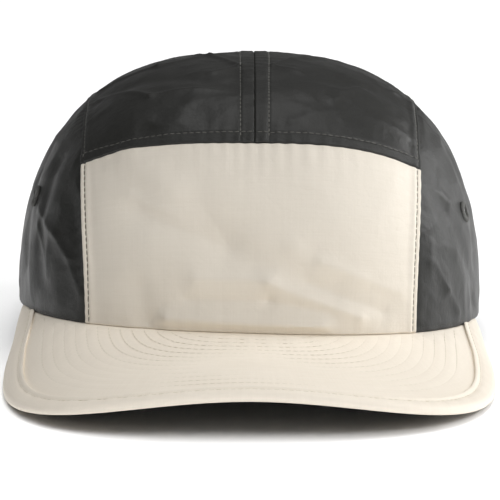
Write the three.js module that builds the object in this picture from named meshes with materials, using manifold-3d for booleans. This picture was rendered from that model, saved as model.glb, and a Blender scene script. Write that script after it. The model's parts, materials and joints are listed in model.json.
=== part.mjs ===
// A five panel cap: one front panel, two top panels that meet at the centre seam, two side panels,
// a stitched peak with a folded edge binding, two sewn eyelets, an inner sweatband, and a webbing
// strap with a slider across the back opening. Millimetres, +Z up, the peak towards -Y.
import * as THREE from 'three';
import { mergeVertices } from 'three/addons/utils/BufferGeometryUtils.js';
import Module from 'manifold-3d';

// Crown: a dome that is measured from the middle of its rim.
const CROWN_HALF_WIDTH = 87;
const CROWN_FRONT = 97.5;
const CROWN_BACK = 101.5;
const CROWN_HEIGHT = 94;
const PLAN_POWER = { front: 2.66, back: 2.2 };
const DOME_POWER = { front: 2.56, side: 2.54, back: 2.39 };
const CLOTH = 1.5;
const GAP = 0.3;

// How the cap rests: it tips back on its rim, the back of the hem lies flat on the surface, and
// the right side hangs a little lower than the left.
const TILT = THREE.MathUtils.degToRad(6.12);
const FLAT_HEM = 50;
const HEM_BLEND = 60;
const SIDE_DROOP = 2.7;
const DROOP_HEIGHT = 45;

// Seams. Angles are turned about the crown's cross axis, from the front of the rim over the top.
const FRONT_SEAM_ANGLE = THREE.MathUtils.degToRad(40.2);
const FRONT_SEAM_LIFT = THREE.MathUtils.degToRad(1.8);
const SEAM_HALF = { frontRim: 60, top: 62, backRim: 48 };
const REAR_CORNER_ANGLE = THREE.MathUtils.degToRad(138);

// Back opening, strap and slider.
const OPENING_HALF = 34;
const OPENING_HEIGHT = 46;
const STRAP = { width: 20, base: 6, thickness: 1.2, tuck: 12, play: 0.4 };
const SLIDER = { place: -14, thickness: 2, bar: 3, slot: 8, clearance: 0.8, corner: 2, play: 0.7 };

// Sweatband.
const BAND = { width: 30, base: 0.8, thickness: 1.2, play: 0.75 };

// Peak. Its front corners touch the surface and the middle of its edge stands clear of it.
const PEAK_LENGTH = 68;
const PEAK_HALF_WIDTH = 89;
const PEAK_WIDEST = 75;
const PEAK_CORNER_POWER = 3.1;
const PEAK_CORNER_ANGLE = THREE.MathUtils.degToRad(40);
const PEAK_RISE = 13.3;
const PEAK_BOARD = 1.8;
const PEAK_TUCK = 2.5;
const EAR_WIDTH = 1;
const BINDING = { wall: 1, width: 8.5, least: 3.2 };

// Eyelets: the turn from the front and the rise above the rim of each one.
const EYELET = { outer: 4.4, hole: 1.7, barrel: 2.4, proud: 0.8, back: 3.6, play: 0.5 };
const EYELET_PLACES = [
  { name: 'eyelet_left', side: -1, turn: 65.5, rise: 26.5 },
  { name: 'eyelet_right', side: 1, turn: 62.5, rise: 23 },
];

// Folds and dents, one row each, as a line from a to b seen square on to its face of the crown.
// Places are shares of the crown's half width or front length, and of its height; width and depth
// are shares of the crown's height, and a negative depth stands proud.
const FOLDS = [
  { face: 'front', a: [0.03, 0.27], b: [0.34, 0.17], width: 0.06, depth: 0.013 },
  { face: 'front', a: [0.27, 0.29], b: [0.58, 0.13], width: 0.055, depth: 0.012 },
  { face: 'front', a: [0.18, 0.33], b: [0.46, 0.20], width: 0.04, depth: -0.009 },
  { face: 'front', a: [-0.50, 0.66], b: [-0.33, 0.54], width: 0.06, depth: -0.010 },
  { face: 'front', a: [-0.45, 0.48], b: [-0.10, 0.34], width: 0.10, depth: 0.012 },
  { face: 'front', a: [-0.46, 0.16], b: [-0.42, 0.03], width: 0.05, depth: 0.010 },
  { face: 'left', a: [-0.46, 0.60], b: [-0.62, 0.16], width: 0.05, depth: 0.012 },
  { face: 'left', a: [-0.18, 0.66], b: [-0.40, 0.20], width: 0.06, depth: 0.013 },
  { face: 'left', a: [0.30, 0.60], b: [0.10, 0.12], width: 0.08, depth: 0.014 },
  { face: 'right', a: [-0.62, 0.42], b: [-0.40, 0.08], width: 0.05, depth: 0.012 },
  { face: 'right', a: [-0.20, 0.62], b: [-0.34, 0.22], width: 0.06, depth: 0.012 },
  { face: 'right', a: [0.34, 0.62], b: [0.16, 0.10], width: 0.08, depth: 0.014 },
  { face: 'top', a: [-0.62, -0.30], b: [-0.05, -0.52], width: 0.06, depth: 0.011 },
  { face: 'top', a: [0.60, -0.34], b: [0.08, -0.50], width: 0.06, depth: 0.011 },
  { face: 'top', a: [-0.50, 0.46], b: [0.42, 0.36], width: 0.12, depth: 0.016 },
];

// How finely each piece is divided: along and across.
const GRID = {
  front: [18, 13],
  top: [12, 22],
  side: [22, 13],
  peak: [44, 8],
  band: 64,
  strap: 60,
  round: 14,
};
const ARCH_COLUMNS = 10;

const COLOURS = { cream: 0xe4ddcc, charcoal: 0x3b3b39, thread: 0x2f2f2e, strap: 0x2c2c2b };

const wasm = await Module();
wasm.setup();

const lerp = THREE.MathUtils.lerp;

function smoothStep(from, to, value) {
  const s = THREE.MathUtils.clamp((value - from) / (to - from), 0, 1);
  return s * s * (3 - 2 * s);
}

// The value of t between low and high where a rising test turns positive.
function solve(low, high, test) {
  for (let i = 0; i < 50; i += 1) {
    const middle = (low + high) / 2;
    if (test(middle) > 0) high = middle;
    else low = middle;
  }
  return (low + high) / 2;
}

// The crown's outer face

function domePower(d) {
  const c = Math.cos(Math.atan2(d.x, -d.y));
  const towards = c > 0 ? DOME_POWER.front : DOME_POWER.back;
  return DOME_POWER.side + (towards - DOME_POWER.side) * c * c;
}

// How far the smooth dome lies from the crown's centre in the direction d, in lengths of d.
function reach(d) {
  const depth = d.y < 0 ? CROWN_FRONT : CROWN_BACK;
  const power = d.y < 0 ? PLAN_POWER.front : PLAN_POWER.back;
  const across = Math.abs(d.x / CROWN_HALF_WIDTH) ** power;
  const along = Math.abs(d.y / depth) ** power;
  const plan = (across + along) ** (1 / power);
  const rise = Math.max(d.z, 0) / CROWN_HEIGHT;
  const q = domePower(d);
  return (plan ** q + rise ** q) ** (-1 / q);
}

function domeNormal(p) {
  const step = 0.01;
  const slope = (dx, dy, dz) => {
    const ahead = reach(new THREE.Vector3(p.x + dx, p.y + dy, p.z + dz));
    const behind = reach(new THREE.Vector3(p.x - dx, p.y - dy, p.z - dz));
    return 1 / ahead - 1 / behind;
  };
  const rise = p.z < step ? 0 : slope(0, 0, step);
  return new THREE.Vector3(slope(step, 0, 0), slope(0, step, 0), rise).normalize();
}

function segmentDistance(x, y, a, b) {
  const dx = b[0] - a[0];
  const dy = b[1] - a[1];
  const t = THREE.MathUtils.clamp(((x - a[0]) * dx + (y - a[1]) * dy) / (dx * dx + dy * dy), 0, 1);
  return Math.hypot(x - a[0] - t * dx, y - a[1] - t * dy);
}

// How deep the folds of the table press the cloth in at a point of the dome.
function foldDepth(p, normal) {
  const views = {
    front: [p.x, p.z, CROWN_HALF_WIDTH, CROWN_HEIGHT, -normal.y],
    left: [p.y, p.z, CROWN_FRONT, CROWN_HEIGHT, -normal.x],
    right: [p.y, p.z, CROWN_FRONT, CROWN_HEIGHT, normal.x],
    top: [p.x, p.y, CROWN_HALF_WIDTH, CROWN_FRONT, normal.z],
  };
  let depth = 0;
  for (const fold of FOLDS) {
    const [x, y, xSize, ySize, facing] = views[fold.face];
    const a = [fold.a[0] * xSize, fold.a[1] * ySize];
    const b = [fold.b[0] * xSize, fold.b[1] * ySize];
    const away = segmentDistance(x, y, a, b) / (fold.width * CROWN_HEIGHT);
    depth += fold.depth * CROWN_HEIGHT * Math.exp(-away * away) * smoothStep(0, 0.4, facing);
  }
  return depth;
}

// A point of the cloth under the dome point p: inward is how far in from the outer face.
function clothPoint(p, inward = 0) {
  const normal = domeNormal(p);
  return p.clone().addScaledVector(normal, -inward - foldDepth(p, normal));
}

// Tips the crown back and lets its hem settle on the surface.
function settle(p) {
  const fromBack = CROWN_BACK - p.y;
  const fade = THREE.MathUtils.clamp(1 - p.z / DROOP_HEIGHT, 0, 1) ** 2;
  const hanging = smoothStep(FLAT_HEM, FLAT_HEM + HEM_BLEND, fromBack);
  const lift = fromBack * Math.sin(TILT);
  const droop = SIDE_DROOP * (p.x / CROWN_HALF_WIDTH) * hanging;
  return new THREE.Vector3(
    p.x,
    CROWN_BACK - fromBack * Math.cos(TILT) + p.z * Math.sin(TILT),
    lift + p.z * Math.cos(TILT) - fade * (lift * (1 - hanging) + droop),
  );
}

// Curves on the dome

function rimPoint(turn) {
  const d = new THREE.Vector3(Math.sin(turn), -Math.cos(turn), 0);
  return d.multiplyScalar(reach(d));
}

// The dome point at x in the plane that is turned by angle about the cross axis.
function stripPoint(x, angle) {
  const direction = (k) => new THREE.Vector3(k, -Math.cos(angle), Math.sin(angle));
  const k = solve(0, 30, (t) => t * reach(direction(t)) - Math.abs(x));
  const d = direction(k * Math.sign(x));
  return d.multiplyScalar(reach(d));
}

// The dome point at the back that is seen at x and z.
function backPoint(x, z) {
  const y = solve(0, CROWN_BACK, (t) => 1 - reach(new THREE.Vector3(x, t, z)));
  return new THREE.Vector3(x, y, z);
}

// Half the width of the strip of front and top panels at an angle.
function seamHalf(angle) {
  const front = lerp(SEAM_HALF.frontRim, SEAM_HALF.top, smoothStep(0, FRONT_SEAM_ANGLE, angle));
  return lerp(front, SEAM_HALF.backRim, smoothStep(Math.PI / 2, Math.PI, angle));
}

function sideSeam(side, angle, shift) {
  return stripPoint(side * (seamHalf(angle) + shift), angle);
}

function frontSeamAngle(x) {
  return FRONT_SEAM_ANGLE + FRONT_SEAM_LIFT * (x / SEAM_HALF.top) ** 2;
}

function frontSeam(x, shift) {
  return stripPoint(x, frontSeamAngle(x) + shift / CROWN_FRONT);
}

const CORNER_ANGLE = frontSeamAngle(SEAM_HALF.top);

// Sheets of cloth

// A closed sheet from its outer and inner faces, two grids of points with the same rows.
function sheet(outer, inner) {
  const rows = outer.length;
  const columns = outer[0].length;
  const points = [...outer.flat(), ...inner.flat()];
  const at = (layer, r, c) => layer * rows * columns + r * columns + c;
  const index = [];
  const quad = (a, b, c, d) => index.push(a, b, c, a, c, d);
  for (let r = 0; r + 1 < rows; r += 1) {
    for (let c = 0; c + 1 < columns; c += 1) {
      quad(at(0, r, c), at(0, r, c + 1), at(0, r + 1, c + 1), at(0, r + 1, c));
      quad(at(1, r, c), at(1, r + 1, c), at(1, r + 1, c + 1), at(1, r, c + 1));
    }
  }
  for (let c = 0; c + 1 < columns; c += 1) {
    quad(at(0, 0, c + 1), at(0, 0, c), at(1, 0, c), at(1, 0, c + 1));
    quad(at(0, rows - 1, c), at(0, rows - 1, c + 1), at(1, rows - 1, c + 1), at(1, rows - 1, c));
  }
  for (let r = 0; r + 1 < rows; r += 1) {
    quad(at(0, r, 0), at(0, r + 1, 0), at(1, r + 1, 0), at(1, r, 0));
    const last = columns - 1;
    quad(at(0, r + 1, last), at(0, r, last), at(1, r, last), at(1, r + 1, last));
  }
  return facingOut(points, index);
}

// Geometry of points and triangles, turned round if its faces point inwards.
function facingOut(points, index) {
  let volume = 0;
  for (let i = 0; i < index.length; i += 3) {
    const [a, b, c] = [points[index[i]], points[index[i + 1]], points[index[i + 2]]];
    volume += a.dot(b.clone().cross(c));
  }
  if (volume < 0) {
    for (let i = 0; i < index.length; i += 3) {
      [index[i + 1], index[i + 2]] = [index[i + 2], index[i + 1]];
    }
  }
  const geometry = new THREE.BufferGeometry().setFromPoints(points);
  geometry.setIndex(index);
  geometry.computeVertexNormals();
  return geometry;
}

// A panel between four curves on the dome. Its inside is blended between them and laid on the dome.
function panel(edges, columns, rows) {
  const { hem, top, left, right } = edges;
  const corner = [hem(0), hem(1), top(0), top(1)];
  const domePoint = (s, t) => {
    const p = new THREE.Vector3();
    p.addScaledVector(hem(s), 1 - t).addScaledVector(top(s), t);
    p.addScaledVector(left(t), 1 - s).addScaledVector(right(t), s);
    p.addScaledVector(corner[0], -(1 - s) * (1 - t)).addScaledVector(corner[1], -s * (1 - t));
    p.addScaledVector(corner[2], -(1 - s) * t).addScaledVector(corner[3], -s * t);
    return p.multiplyScalar(reach(p));
  };
  const outer = [];
  const inner = [];
  for (let r = 0; r <= rows; r += 1) {
    const line = [];
    for (let c = 0; c <= columns; c += 1) line.push(domePoint(c / columns, r / rows));
    outer.push(line.map((p) => settle(clothPoint(p))));
    inner.push(line.map((p) => settle(clothPoint(p, CLOTH))));
  }
  return sheet(outer, inner);
}

function frontPanel() {
  const half = (share) => lerp(-1, 1, share);
  const low = SEAM_HALF.frontRim - GAP / 2;
  const high = SEAM_HALF.top - GAP / 2;
  const top = (s) => frontSeam(high * half(s), -GAP / 2);
  const edge = (side) => (t) => sideSeam(side, t * frontSeamAngle(high), -GAP / 2);
  const trimmed = (side) => (t) => (t < 1 ? edge(side)(t * (1 - GAP / 2 / CROWN_FRONT)) : top((side + 1) / 2));
  const hem = (s) => stripPoint(low * half(s), 0);
  return panel({ hem, top, left: trimmed(-1), right: trimmed(1) }, ...GRID.front);
}

// The arch of the back opening, from its top to the rim, and then the rim out to the side seam.
function openingEdge(share) {
  const archShare = ARCH_COLUMNS / GRID.top[0];
  if (share <= archShare) {
    const turn = (share / archShare) * Math.PI / 2;
    return backPoint(GAP / 2 + (OPENING_HALF - GAP / 2) * Math.sin(turn), OPENING_HEIGHT * Math.cos(turn));
  }
  const out = (share - archShare) / (1 - archShare);
  return backPoint(lerp(OPENING_HALF, SEAM_HALF.backRim - GAP / 2, out), 0);
}

function topPanel(side) {
  const across = (share) => side * lerp(GAP / 2, SEAM_HALF.top - GAP / 2, share);
  const flip = (p) => p.setX(side * p.x);
  const front = (s) => frontSeam(across(s), GAP / 2);
  const back = (s) => flip(openingEdge(s));
  const archTop = backPoint(0, OPENING_HEIGHT);
  const archAngle = Math.atan2(archTop.z, -archTop.y);
  const from = frontSeamAngle(0) + GAP / 2 / CROWN_FRONT;
  const centre = (t) => stripPoint(across(0), lerp(from, archAngle, t));
  const start = CORNER_ANGLE + GAP / 2 / CROWN_FRONT;
  const seam = (t) => sideSeam(side, lerp(start, Math.PI, t), -GAP / 2);
  return panel({ hem: front, top: back, left: centre, right: seam }, ...GRID.top);
}

function sidePanel(side) {
  const low = sideSeam(side, 0, GAP / 2);
  const far = sideSeam(side, Math.PI, GAP / 2);
  const frontTurn = Math.atan2(low.x, -low.y);
  const backTurn = Math.atan2(far.x, -far.y);
  const hem = (s) => rimPoint(lerp(frontTurn, backTurn, s));
  const top = (s) => sideSeam(side, lerp(CORNER_ANGLE, REAR_CORNER_ANGLE, s), GAP / 2);
  const left = (t) => sideSeam(side, CORNER_ANGLE * t, GAP / 2);
  const right = (t) => sideSeam(side, lerp(Math.PI, REAR_CORNER_ANGLE, t), GAP / 2);
  return panel({ hem, top, left, right }, ...GRID.side);
}

// Cutting

function toSolid(geometry) {
  const bare = new THREE.BufferGeometry();
  bare.setAttribute('position', geometry.getAttribute('position'));
  if (geometry.index) bare.setIndex(geometry.index);
  const merged = mergeVertices(bare, 1e-4);
  return new wasm.Manifold(new wasm.Mesh({
    numProp: 3,
    vertProperties: new Float32Array(merged.attributes.position.array),
    triVerts: new Uint32Array(merged.index.array),
  }));
}

function fromSolid(solid) {
  const mesh = solid.getMesh();
  const geometry = new THREE.BufferGeometry();
  geometry.setAttribute('position', new THREE.BufferAttribute(new Float32Array(mesh.vertProperties), 3));
  geometry.setIndex(new THREE.BufferAttribute(new Uint32Array(mesh.triVerts), 1));
  geometry.computeVertexNormals();
  return geometry;
}

// Eyelets

// Where an eyelet sits: its place on the cloth, with its axis out of the face.
function eyeletMatrix(place) {
  const turn = THREE.MathUtils.degToRad(place.turn) * place.side;
  const rise = THREE.MathUtils.degToRad(place.rise);
  const on = (a, b) => {
    const d = new THREE.Vector3(Math.sin(a) * Math.cos(b), -Math.cos(a) * Math.cos(b), Math.sin(b));
    return settle(clothPoint(d.multiplyScalar(reach(d))));
  };
  const step = 0.02;
  const along = on(turn + step, rise).sub(on(turn - step, rise)).normalize();
  const up = on(turn, rise + step).sub(on(turn, rise - step)).normalize();
  const out = along.clone().cross(up).normalize();
  const upright = out.clone().cross(along);
  return new THREE.Matrix4().makeBasis(along, upright, out).setPosition(on(turn, rise));
}

function eyelet() {
  const { outer, hole, barrel, proud, back, play } = EYELET;
  const inside = -CLOTH - play;
  const profile = [
    [hole, proud * 0.6],
    [(hole + outer) / 2, proud + play],
    [outer, play + proud * 0.4],
    [outer, play],
    [barrel, play],
    [barrel, inside],
    [back, inside],
    [back, inside - proud * 0.6],
    [hole, inside - proud * 0.6],
    [hole, proud * 0.6],
  ].reverse();
  const points = profile.map(([r, z]) => new THREE.Vector2(r, z));
  return new THREE.LatheGeometry(points, GRID.round).rotateX(Math.PI / 2);
}

function eyeletHole(place) {
  const length = 4 * CLOTH;
  const drill = new THREE.CylinderGeometry(EYELET.barrel + GAP, EYELET.barrel + GAP, length, GRID.round);
  return toSolid(drill.rotateX(Math.PI / 2).applyMatrix4(eyeletMatrix(place)));
}

// Peak

// A line out of the crown's middle through the rim at a turn: where it leaves the crown and the peak.
function peakRay(turn) {
  const centre = settle(new THREE.Vector3());
  const rim = settle(rimPoint(turn));
  const out = new THREE.Vector3(rim.x - centre.x, rim.y - centre.y, 0);
  const start = out.length();
  out.normalize();
  const front = settle(rimPoint(0)).y - PEAK_LENGTH;
  const forward = -PEAK_WIDEST - front;
  const end = solve(start / 2, start + 2 * PEAK_LENGTH, (r) => {
    const x = Math.abs(out.x * r / PEAK_HALF_WIDTH) ** PEAK_CORNER_POWER;
    const y = Math.abs((centre.y + out.y * r + PEAK_WIDEST) / forward) ** PEAK_CORNER_POWER;
    return x + y - 1;
  });
  return { centre, out, start, end, top: rim.z - GAP };
}

// The turn where the peak stands out from the crown by only this much.
function turnAtWidth(width) {
  return solve(PEAK_CORNER_ANGLE, Math.PI / 2, (turn) => {
    const ray = peakRay(turn);
    return width - (ray.end - ray.start);
  });
}

const EAR_TURN = turnAtWidth(EAR_WIDTH);
const BINDING_TURN = turnAtWidth(BINDING.least);
const UNDER_BOARD = BINDING.wall + GAP;

// The height of the binding's lower face above the surface at the peak's edge.
function edgeHeight(turn) {
  const away = Math.abs(turn);
  if (away < PEAK_CORNER_ANGLE) {
    return PEAK_RISE * Math.cos((Math.PI / 2) * (away / PEAK_CORNER_ANGLE)) ** 2;
  }
  const ear = peakRay(Math.sign(turn) * EAR_TURN).top - PEAK_BOARD - UNDER_BOARD;
  return ear * ((away - PEAK_CORNER_ANGLE) / (EAR_TURN - PEAK_CORNER_ANGLE)) ** 2;
}

// The peak's upper face at a distance from the crown's middle.
function peakTop(ray, turn, distance) {
  const edge = edgeHeight(turn) + UNDER_BOARD + PEAK_BOARD;
  const share = THREE.MathUtils.clamp((distance - ray.start) / (ray.end - ray.start), 0, 1);
  return lerp(ray.top, edge, share);
}

function peakPoint(ray, distance, height) {
  return ray.centre.clone().addScaledVector(ray.out, distance).setZ(height);
}

// The turns where the binding has a section. The peak has the same ones, and one more at each ear.
function bindingTurns() {
  const turns = [];
  for (let c = 0; c <= GRID.peak[0]; c += 1) {
    turns.push(lerp(-BINDING_TURN, BINDING_TURN, c / GRID.peak[0]));
  }
  return turns;
}

function peak() {
  const across = GRID.peak[1];
  const upper = [];
  const lower = [];
  for (let r = 0; r <= across; r += 1) {
    const top = [];
    const under = [];
    for (const turn of [-EAR_TURN, ...bindingTurns(), EAR_TURN]) {
      const ray = peakRay(turn);
      const tucked = ray.start - CLOTH - PEAK_TUCK;
      const edge = ray.end - (Math.abs(turn) > BINDING_TURN ? GAP : UNDER_BOARD);
      const distance = r === 0 ? tucked : lerp(ray.start, edge, (r - 1) / (across - 1));
      const height = peakTop(ray, turn, distance);
      top.push(peakPoint(ray, distance, height));
      under.push(peakPoint(ray, distance, height - PEAK_BOARD));
    }
    upper.push(top);
    lower.push(under);
  }
  return sheet(upper, lower);
}

// The folded strip round the peak's edge, one closed section swept from ear to ear.
function binding() {
  const { wall, width } = BINDING;
  const sections = [];
  for (const turn of bindingTurns()) {
    const ray = peakRay(turn);
    const inner = Math.max(ray.end - width, ray.start + GAP);
    const board = ray.end - UNDER_BOARD + GAP;
    const at = (distance, offset) => peakPoint(ray, distance, peakTop(ray, turn, distance) + offset);
    const below = -PEAK_BOARD - GAP;
    const bend = wall * 0.6;
    sections.push([
      at(inner, GAP),
      at(inner, GAP + wall * 0.9),
      at(inner + wall, UNDER_BOARD),
      at(ray.end - wall, UNDER_BOARD),
      at(ray.end - wall * 0.3, UNDER_BOARD - bend),
      at(ray.end, -PEAK_BOARD / 2),
      at(ray.end - wall * 0.3, below - wall + bend),
      at(ray.end - wall, below - wall),
      at(inner, below - wall),
      at(inner, below),
      at(board, below),
      at(board, GAP),
    ]);
  }
  return sweep(sections);
}

// A closed body through sections of equally many points, with flat ends.
function sweep(sections) {
  const points = sections.flat();
  const size = sections[0].length;
  const index = [];
  for (let s = 0; s + 1 < sections.length; s += 1) {
    for (let i = 0; i < size; i += 1) {
      const [a, b] = [s * size + i, s * size + ((i + 1) % size)];
      index.push(a, b, b + size, a, b + size, a + size);
    }
  }
  const ends = [0, sections.length - 1];
  for (const s of ends) {
    const outline = flatOutline(sections[s]);
    for (const [a, b, c] of THREE.ShapeUtils.triangulateShape(outline, [])) {
      const face = [a, b, c].map((i) => s * size + i);
      index.push(...(s === 0 ? face : face.reverse()));
    }
  }
  return facingOut(points, index);
}

// A section seen square on: distance out of the crown's middle and height.
function flatOutline(section) {
  const middle = settle(new THREE.Vector3());
  return section.map((p) => new THREE.Vector2(Math.hypot(p.x - middle.x, p.y - middle.y), p.z));
}

// Inner band, strap and slider

function tuckTurn() {
  const end = backPoint(OPENING_HALF + STRAP.tuck, 0);
  return Math.atan2(end.x, -end.y);
}

// A strip that follows the inside of the crown between two turns of the rim.
function insideStrip(turns, columns, { base, width, thickness, play }, outward) {
  const heights = [0, 1 / 3, 2 / 3, 1].map((share) => base + share * width);
  const faces = [0, thickness].map((depth) => heights.map((z) => {
    const row = [];
    for (let c = 0; c <= columns; c += 1) {
      const turn = lerp(...turns, c / columns);
      const rim = rimPoint(turn);
      const d = new THREE.Vector3(rim.x, rim.y, 0);
      const share = solve(0, 1, (t) => 1 - reach(new THREE.Vector3(d.x * t, d.y * t, z)));
      const p = new THREE.Vector3(rim.x * share, rim.y * share, z);
      const normal = domeNormal(p);
      const inward = CLOTH + play + depth - outward(p.x) + foldDepth(p, normal);
      row.push(settle(p.addScaledVector(normal, -inward)));
    }
    return row;
  }));
  return sheet(...faces);
}

function sweatband() {
  const end = tuckTurn() - GAP / CROWN_BACK * 2;
  return insideStrip([-end, end], GRID.band, BAND, () => 0);
}

// The strap passes over the slider's middle bar and behind its two outer bars.
function strapLift(x) {
  const from = Math.abs(x - SLIDER.place);
  const lift = SLIDER.thickness + 2 * SLIDER.play + STRAP.thickness;
  return lift * (1 - smoothStep(SLIDER.bar / 2, SLIDER.bar / 2 + SLIDER.slot, from));
}

function strap() {
  const end = tuckTurn();
  const turns = [2 * Math.PI - end, end];
  return insideStrip(turns, GRID.strap, STRAP, strapLift);
}

function slider() {
  const { bar, slot, clearance, corner, thickness } = SLIDER;
  const halfWidth = 1.5 * bar + slot;
  const halfHeight = STRAP.width / 2 + clearance + bar;
  const corners = [];
  for (const [x, y] of [[1, -1], [1, 1], [-1, 1], [-1, -1]]) {
    const cuts = [
      new THREE.Vector2(x * (halfWidth - corner), y * halfHeight),
      new THREE.Vector2(x * halfWidth, y * (halfHeight - corner)),
    ];
    corners.push(...(x * y < 0 ? cuts : cuts.reverse()));
  }
  const outline = new THREE.Shape(corners);
  const plate = new THREE.ExtrudeGeometry(outline, { depth: thickness, bevelEnabled: false });
  let solid = toSolid(plate);
  for (const side of [-1, 1]) {
    const hole = new THREE.BoxGeometry(slot, STRAP.width + 2 * clearance, 3 * thickness);
    hole.translate(side * (bar + slot) / 2, 0, thickness / 2);
    solid = solid.subtract(toSolid(hole));
  }
  return fromSolid(solid);
}

// The slider lies flat on the outside of the strap.
function sliderMatrix() {
  const middle = STRAP.base + STRAP.width / 2;
  const on = (x, z) => {
    const p = backPoint(x, z);
    const normal = domeNormal(p);
    return settle(p.addScaledVector(normal, SLIDER.play - CLOTH - STRAP.play));
  };
  const step = 1;
  const along = on(SLIDER.place - step, middle).sub(on(SLIDER.place + step, middle)).normalize();
  const up = on(SLIDER.place, middle + step).sub(on(SLIDER.place, middle - step)).normalize();
  const out = along.clone().cross(up).normalize();
  const upright = out.clone().cross(along);
  return new THREE.Matrix4().makeBasis(along, upright, out).setPosition(on(SLIDER.place, middle));
}

// The assembly

function material(color, roughness) {
  return new THREE.MeshStandardMaterial({ color, roughness, metalness: 0, side: THREE.DoubleSide });
}

const cap = new THREE.Group();
const crown = new THREE.Group();
const back = new THREE.Group();
cap.add(crown, back);

function addMesh(group, name, geometry, color, roughness) {
  const mesh = new THREE.Mesh(geometry, material(color, roughness));
  mesh.name = name;
  group.add(mesh);
  return mesh;
}

addMesh(crown, 'front_panel', frontPanel(), COLOURS.cream, 0.7);
for (const [name, side] of [['left', -1], ['right', 1]]) {
  addMesh(crown, `top_panel_${name}`, topPanel(side), COLOURS.charcoal, 0.6);
  const place = EYELET_PLACES.find((row) => row.side === side);
  const cut = toSolid(sidePanel(side)).subtract(eyeletHole(place));
  addMesh(crown, `side_panel_${name}`, fromSolid(cut), COLOURS.charcoal, 0.6);
}
for (const place of EYELET_PLACES) {
  const ring = addMesh(crown, place.name, eyelet(), COLOURS.thread, 0.8);
  ring.applyMatrix4(eyeletMatrix(place));
}
addMesh(crown, 'sweatband', sweatband(), COLOURS.charcoal, 0.85);
addMesh(cap, 'peak', peak(), COLOURS.cream, 0.7);
addMesh(cap, 'peak_binding', binding(), COLOURS.cream, 0.7);
addMesh(back, 'back_strap', strap(), COLOURS.strap, 0.75);
addMesh(back, 'strap_slider', slider(), COLOURS.strap, 0.5).applyMatrix4(sliderMatrix());

// The origin is on the surface, under the middle of the cap.
const box = new THREE.Box3().setFromObject(cap, true);
cap.position.set(-(box.min.x + box.max.x) / 2, -(box.min.y + box.max.y) / 2, -box.min.z);

export default cap;
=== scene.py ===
# %% [markdown]
# A five panel cap in Blender
#
# The cap is a sewn dome of thin nylon: one cream front panel, two charcoal top panels, two charcoal
# side panels, a stitched cream peak with a folded edge, sewn eyelets and a strap at the back.
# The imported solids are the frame. Every cloth piece here lies on the same dome as they do, so each
# one can be modelled finely, with its seams, folds and puckers, and still fit its neighbours.

# %% Load the frame
import json
import math

import bpy
import numpy as np
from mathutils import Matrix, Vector, noise

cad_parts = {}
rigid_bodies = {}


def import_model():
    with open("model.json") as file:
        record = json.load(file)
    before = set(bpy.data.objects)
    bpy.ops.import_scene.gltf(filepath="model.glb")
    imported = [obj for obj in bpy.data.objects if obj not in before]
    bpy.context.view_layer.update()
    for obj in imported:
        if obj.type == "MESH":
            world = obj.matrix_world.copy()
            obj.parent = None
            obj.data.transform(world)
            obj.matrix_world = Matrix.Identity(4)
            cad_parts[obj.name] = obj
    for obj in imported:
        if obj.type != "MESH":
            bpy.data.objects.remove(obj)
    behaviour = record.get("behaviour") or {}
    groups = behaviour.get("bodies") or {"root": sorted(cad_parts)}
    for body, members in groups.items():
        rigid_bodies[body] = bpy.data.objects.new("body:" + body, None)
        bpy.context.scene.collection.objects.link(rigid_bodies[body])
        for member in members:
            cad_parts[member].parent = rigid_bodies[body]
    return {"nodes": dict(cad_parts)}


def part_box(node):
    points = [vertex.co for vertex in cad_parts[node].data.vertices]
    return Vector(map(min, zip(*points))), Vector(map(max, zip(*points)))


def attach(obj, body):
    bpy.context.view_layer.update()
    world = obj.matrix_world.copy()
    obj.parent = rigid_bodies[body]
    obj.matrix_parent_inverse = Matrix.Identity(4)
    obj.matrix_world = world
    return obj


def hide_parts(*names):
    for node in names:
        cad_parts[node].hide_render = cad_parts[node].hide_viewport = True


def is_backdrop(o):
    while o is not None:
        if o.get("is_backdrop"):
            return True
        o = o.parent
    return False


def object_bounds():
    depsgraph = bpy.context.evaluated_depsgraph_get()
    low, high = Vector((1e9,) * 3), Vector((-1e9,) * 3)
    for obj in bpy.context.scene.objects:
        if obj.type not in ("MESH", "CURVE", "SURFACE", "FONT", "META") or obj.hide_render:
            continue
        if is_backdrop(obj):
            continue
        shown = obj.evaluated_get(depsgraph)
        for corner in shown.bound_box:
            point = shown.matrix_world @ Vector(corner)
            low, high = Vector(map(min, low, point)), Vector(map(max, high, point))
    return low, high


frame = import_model()
cad_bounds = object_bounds()
bpy.ops.object.select_all(action="DESELECT")
BODY = "root"
MM = 0.001
print("nodes", sorted(frame["nodes"]))

# %% [markdown]
# The dome
#
# A sewn crown could be sculpted, or simulated from flat panels. Its outline is smooth and known,
# so here it is a formula instead: the distance from the middle of the rim to the cloth in any
# direction. The formula's sizes are the real ones in millimetres, the same as the solids have.

# %% Sizes of the crown
CROWN_HALF_WIDTH = 87.0
CROWN_FRONT = 97.5
CROWN_BACK = 101.5
CROWN_HEIGHT = 94.0
PLAN_FRONT, PLAN_BACK = 2.66, 2.2
DOME_FRONT, DOME_SIDE, DOME_BACK = 2.56, 2.54, 2.39
TILT = math.radians(6.12)
FLAT_HEM, HEM_BLEND = 50.0, 60.0
SIDE_DROOP, DROOP_HEIGHT = 2.7, 45.0
FRONT_SEAM_ANGLE = math.radians(40.5)
FRONT_SEAM_LIFT = math.radians(1.5)
FRONT_SEAM_SKEW = math.radians(0.6)
CENTRE_SEAM_SHIFT, SIDE_SEAM_SHIFT = 2.0, 0.6
SEAM_FRONT_RIM, SEAM_TOP, SEAM_BACK_RIM = 60.0, 62.0, 48.0
REAR_CORNER_ANGLE = math.radians(138)
OPENING_HALF, OPENING_HEIGHT = 34.0, 46.0
CLOTH = 0.8

# %% The dome formula


def smooth(start, end, value):
    share = np.clip((value - start) / (end - start), 0, 1)
    return share * share * (3 - 2 * share)


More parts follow.
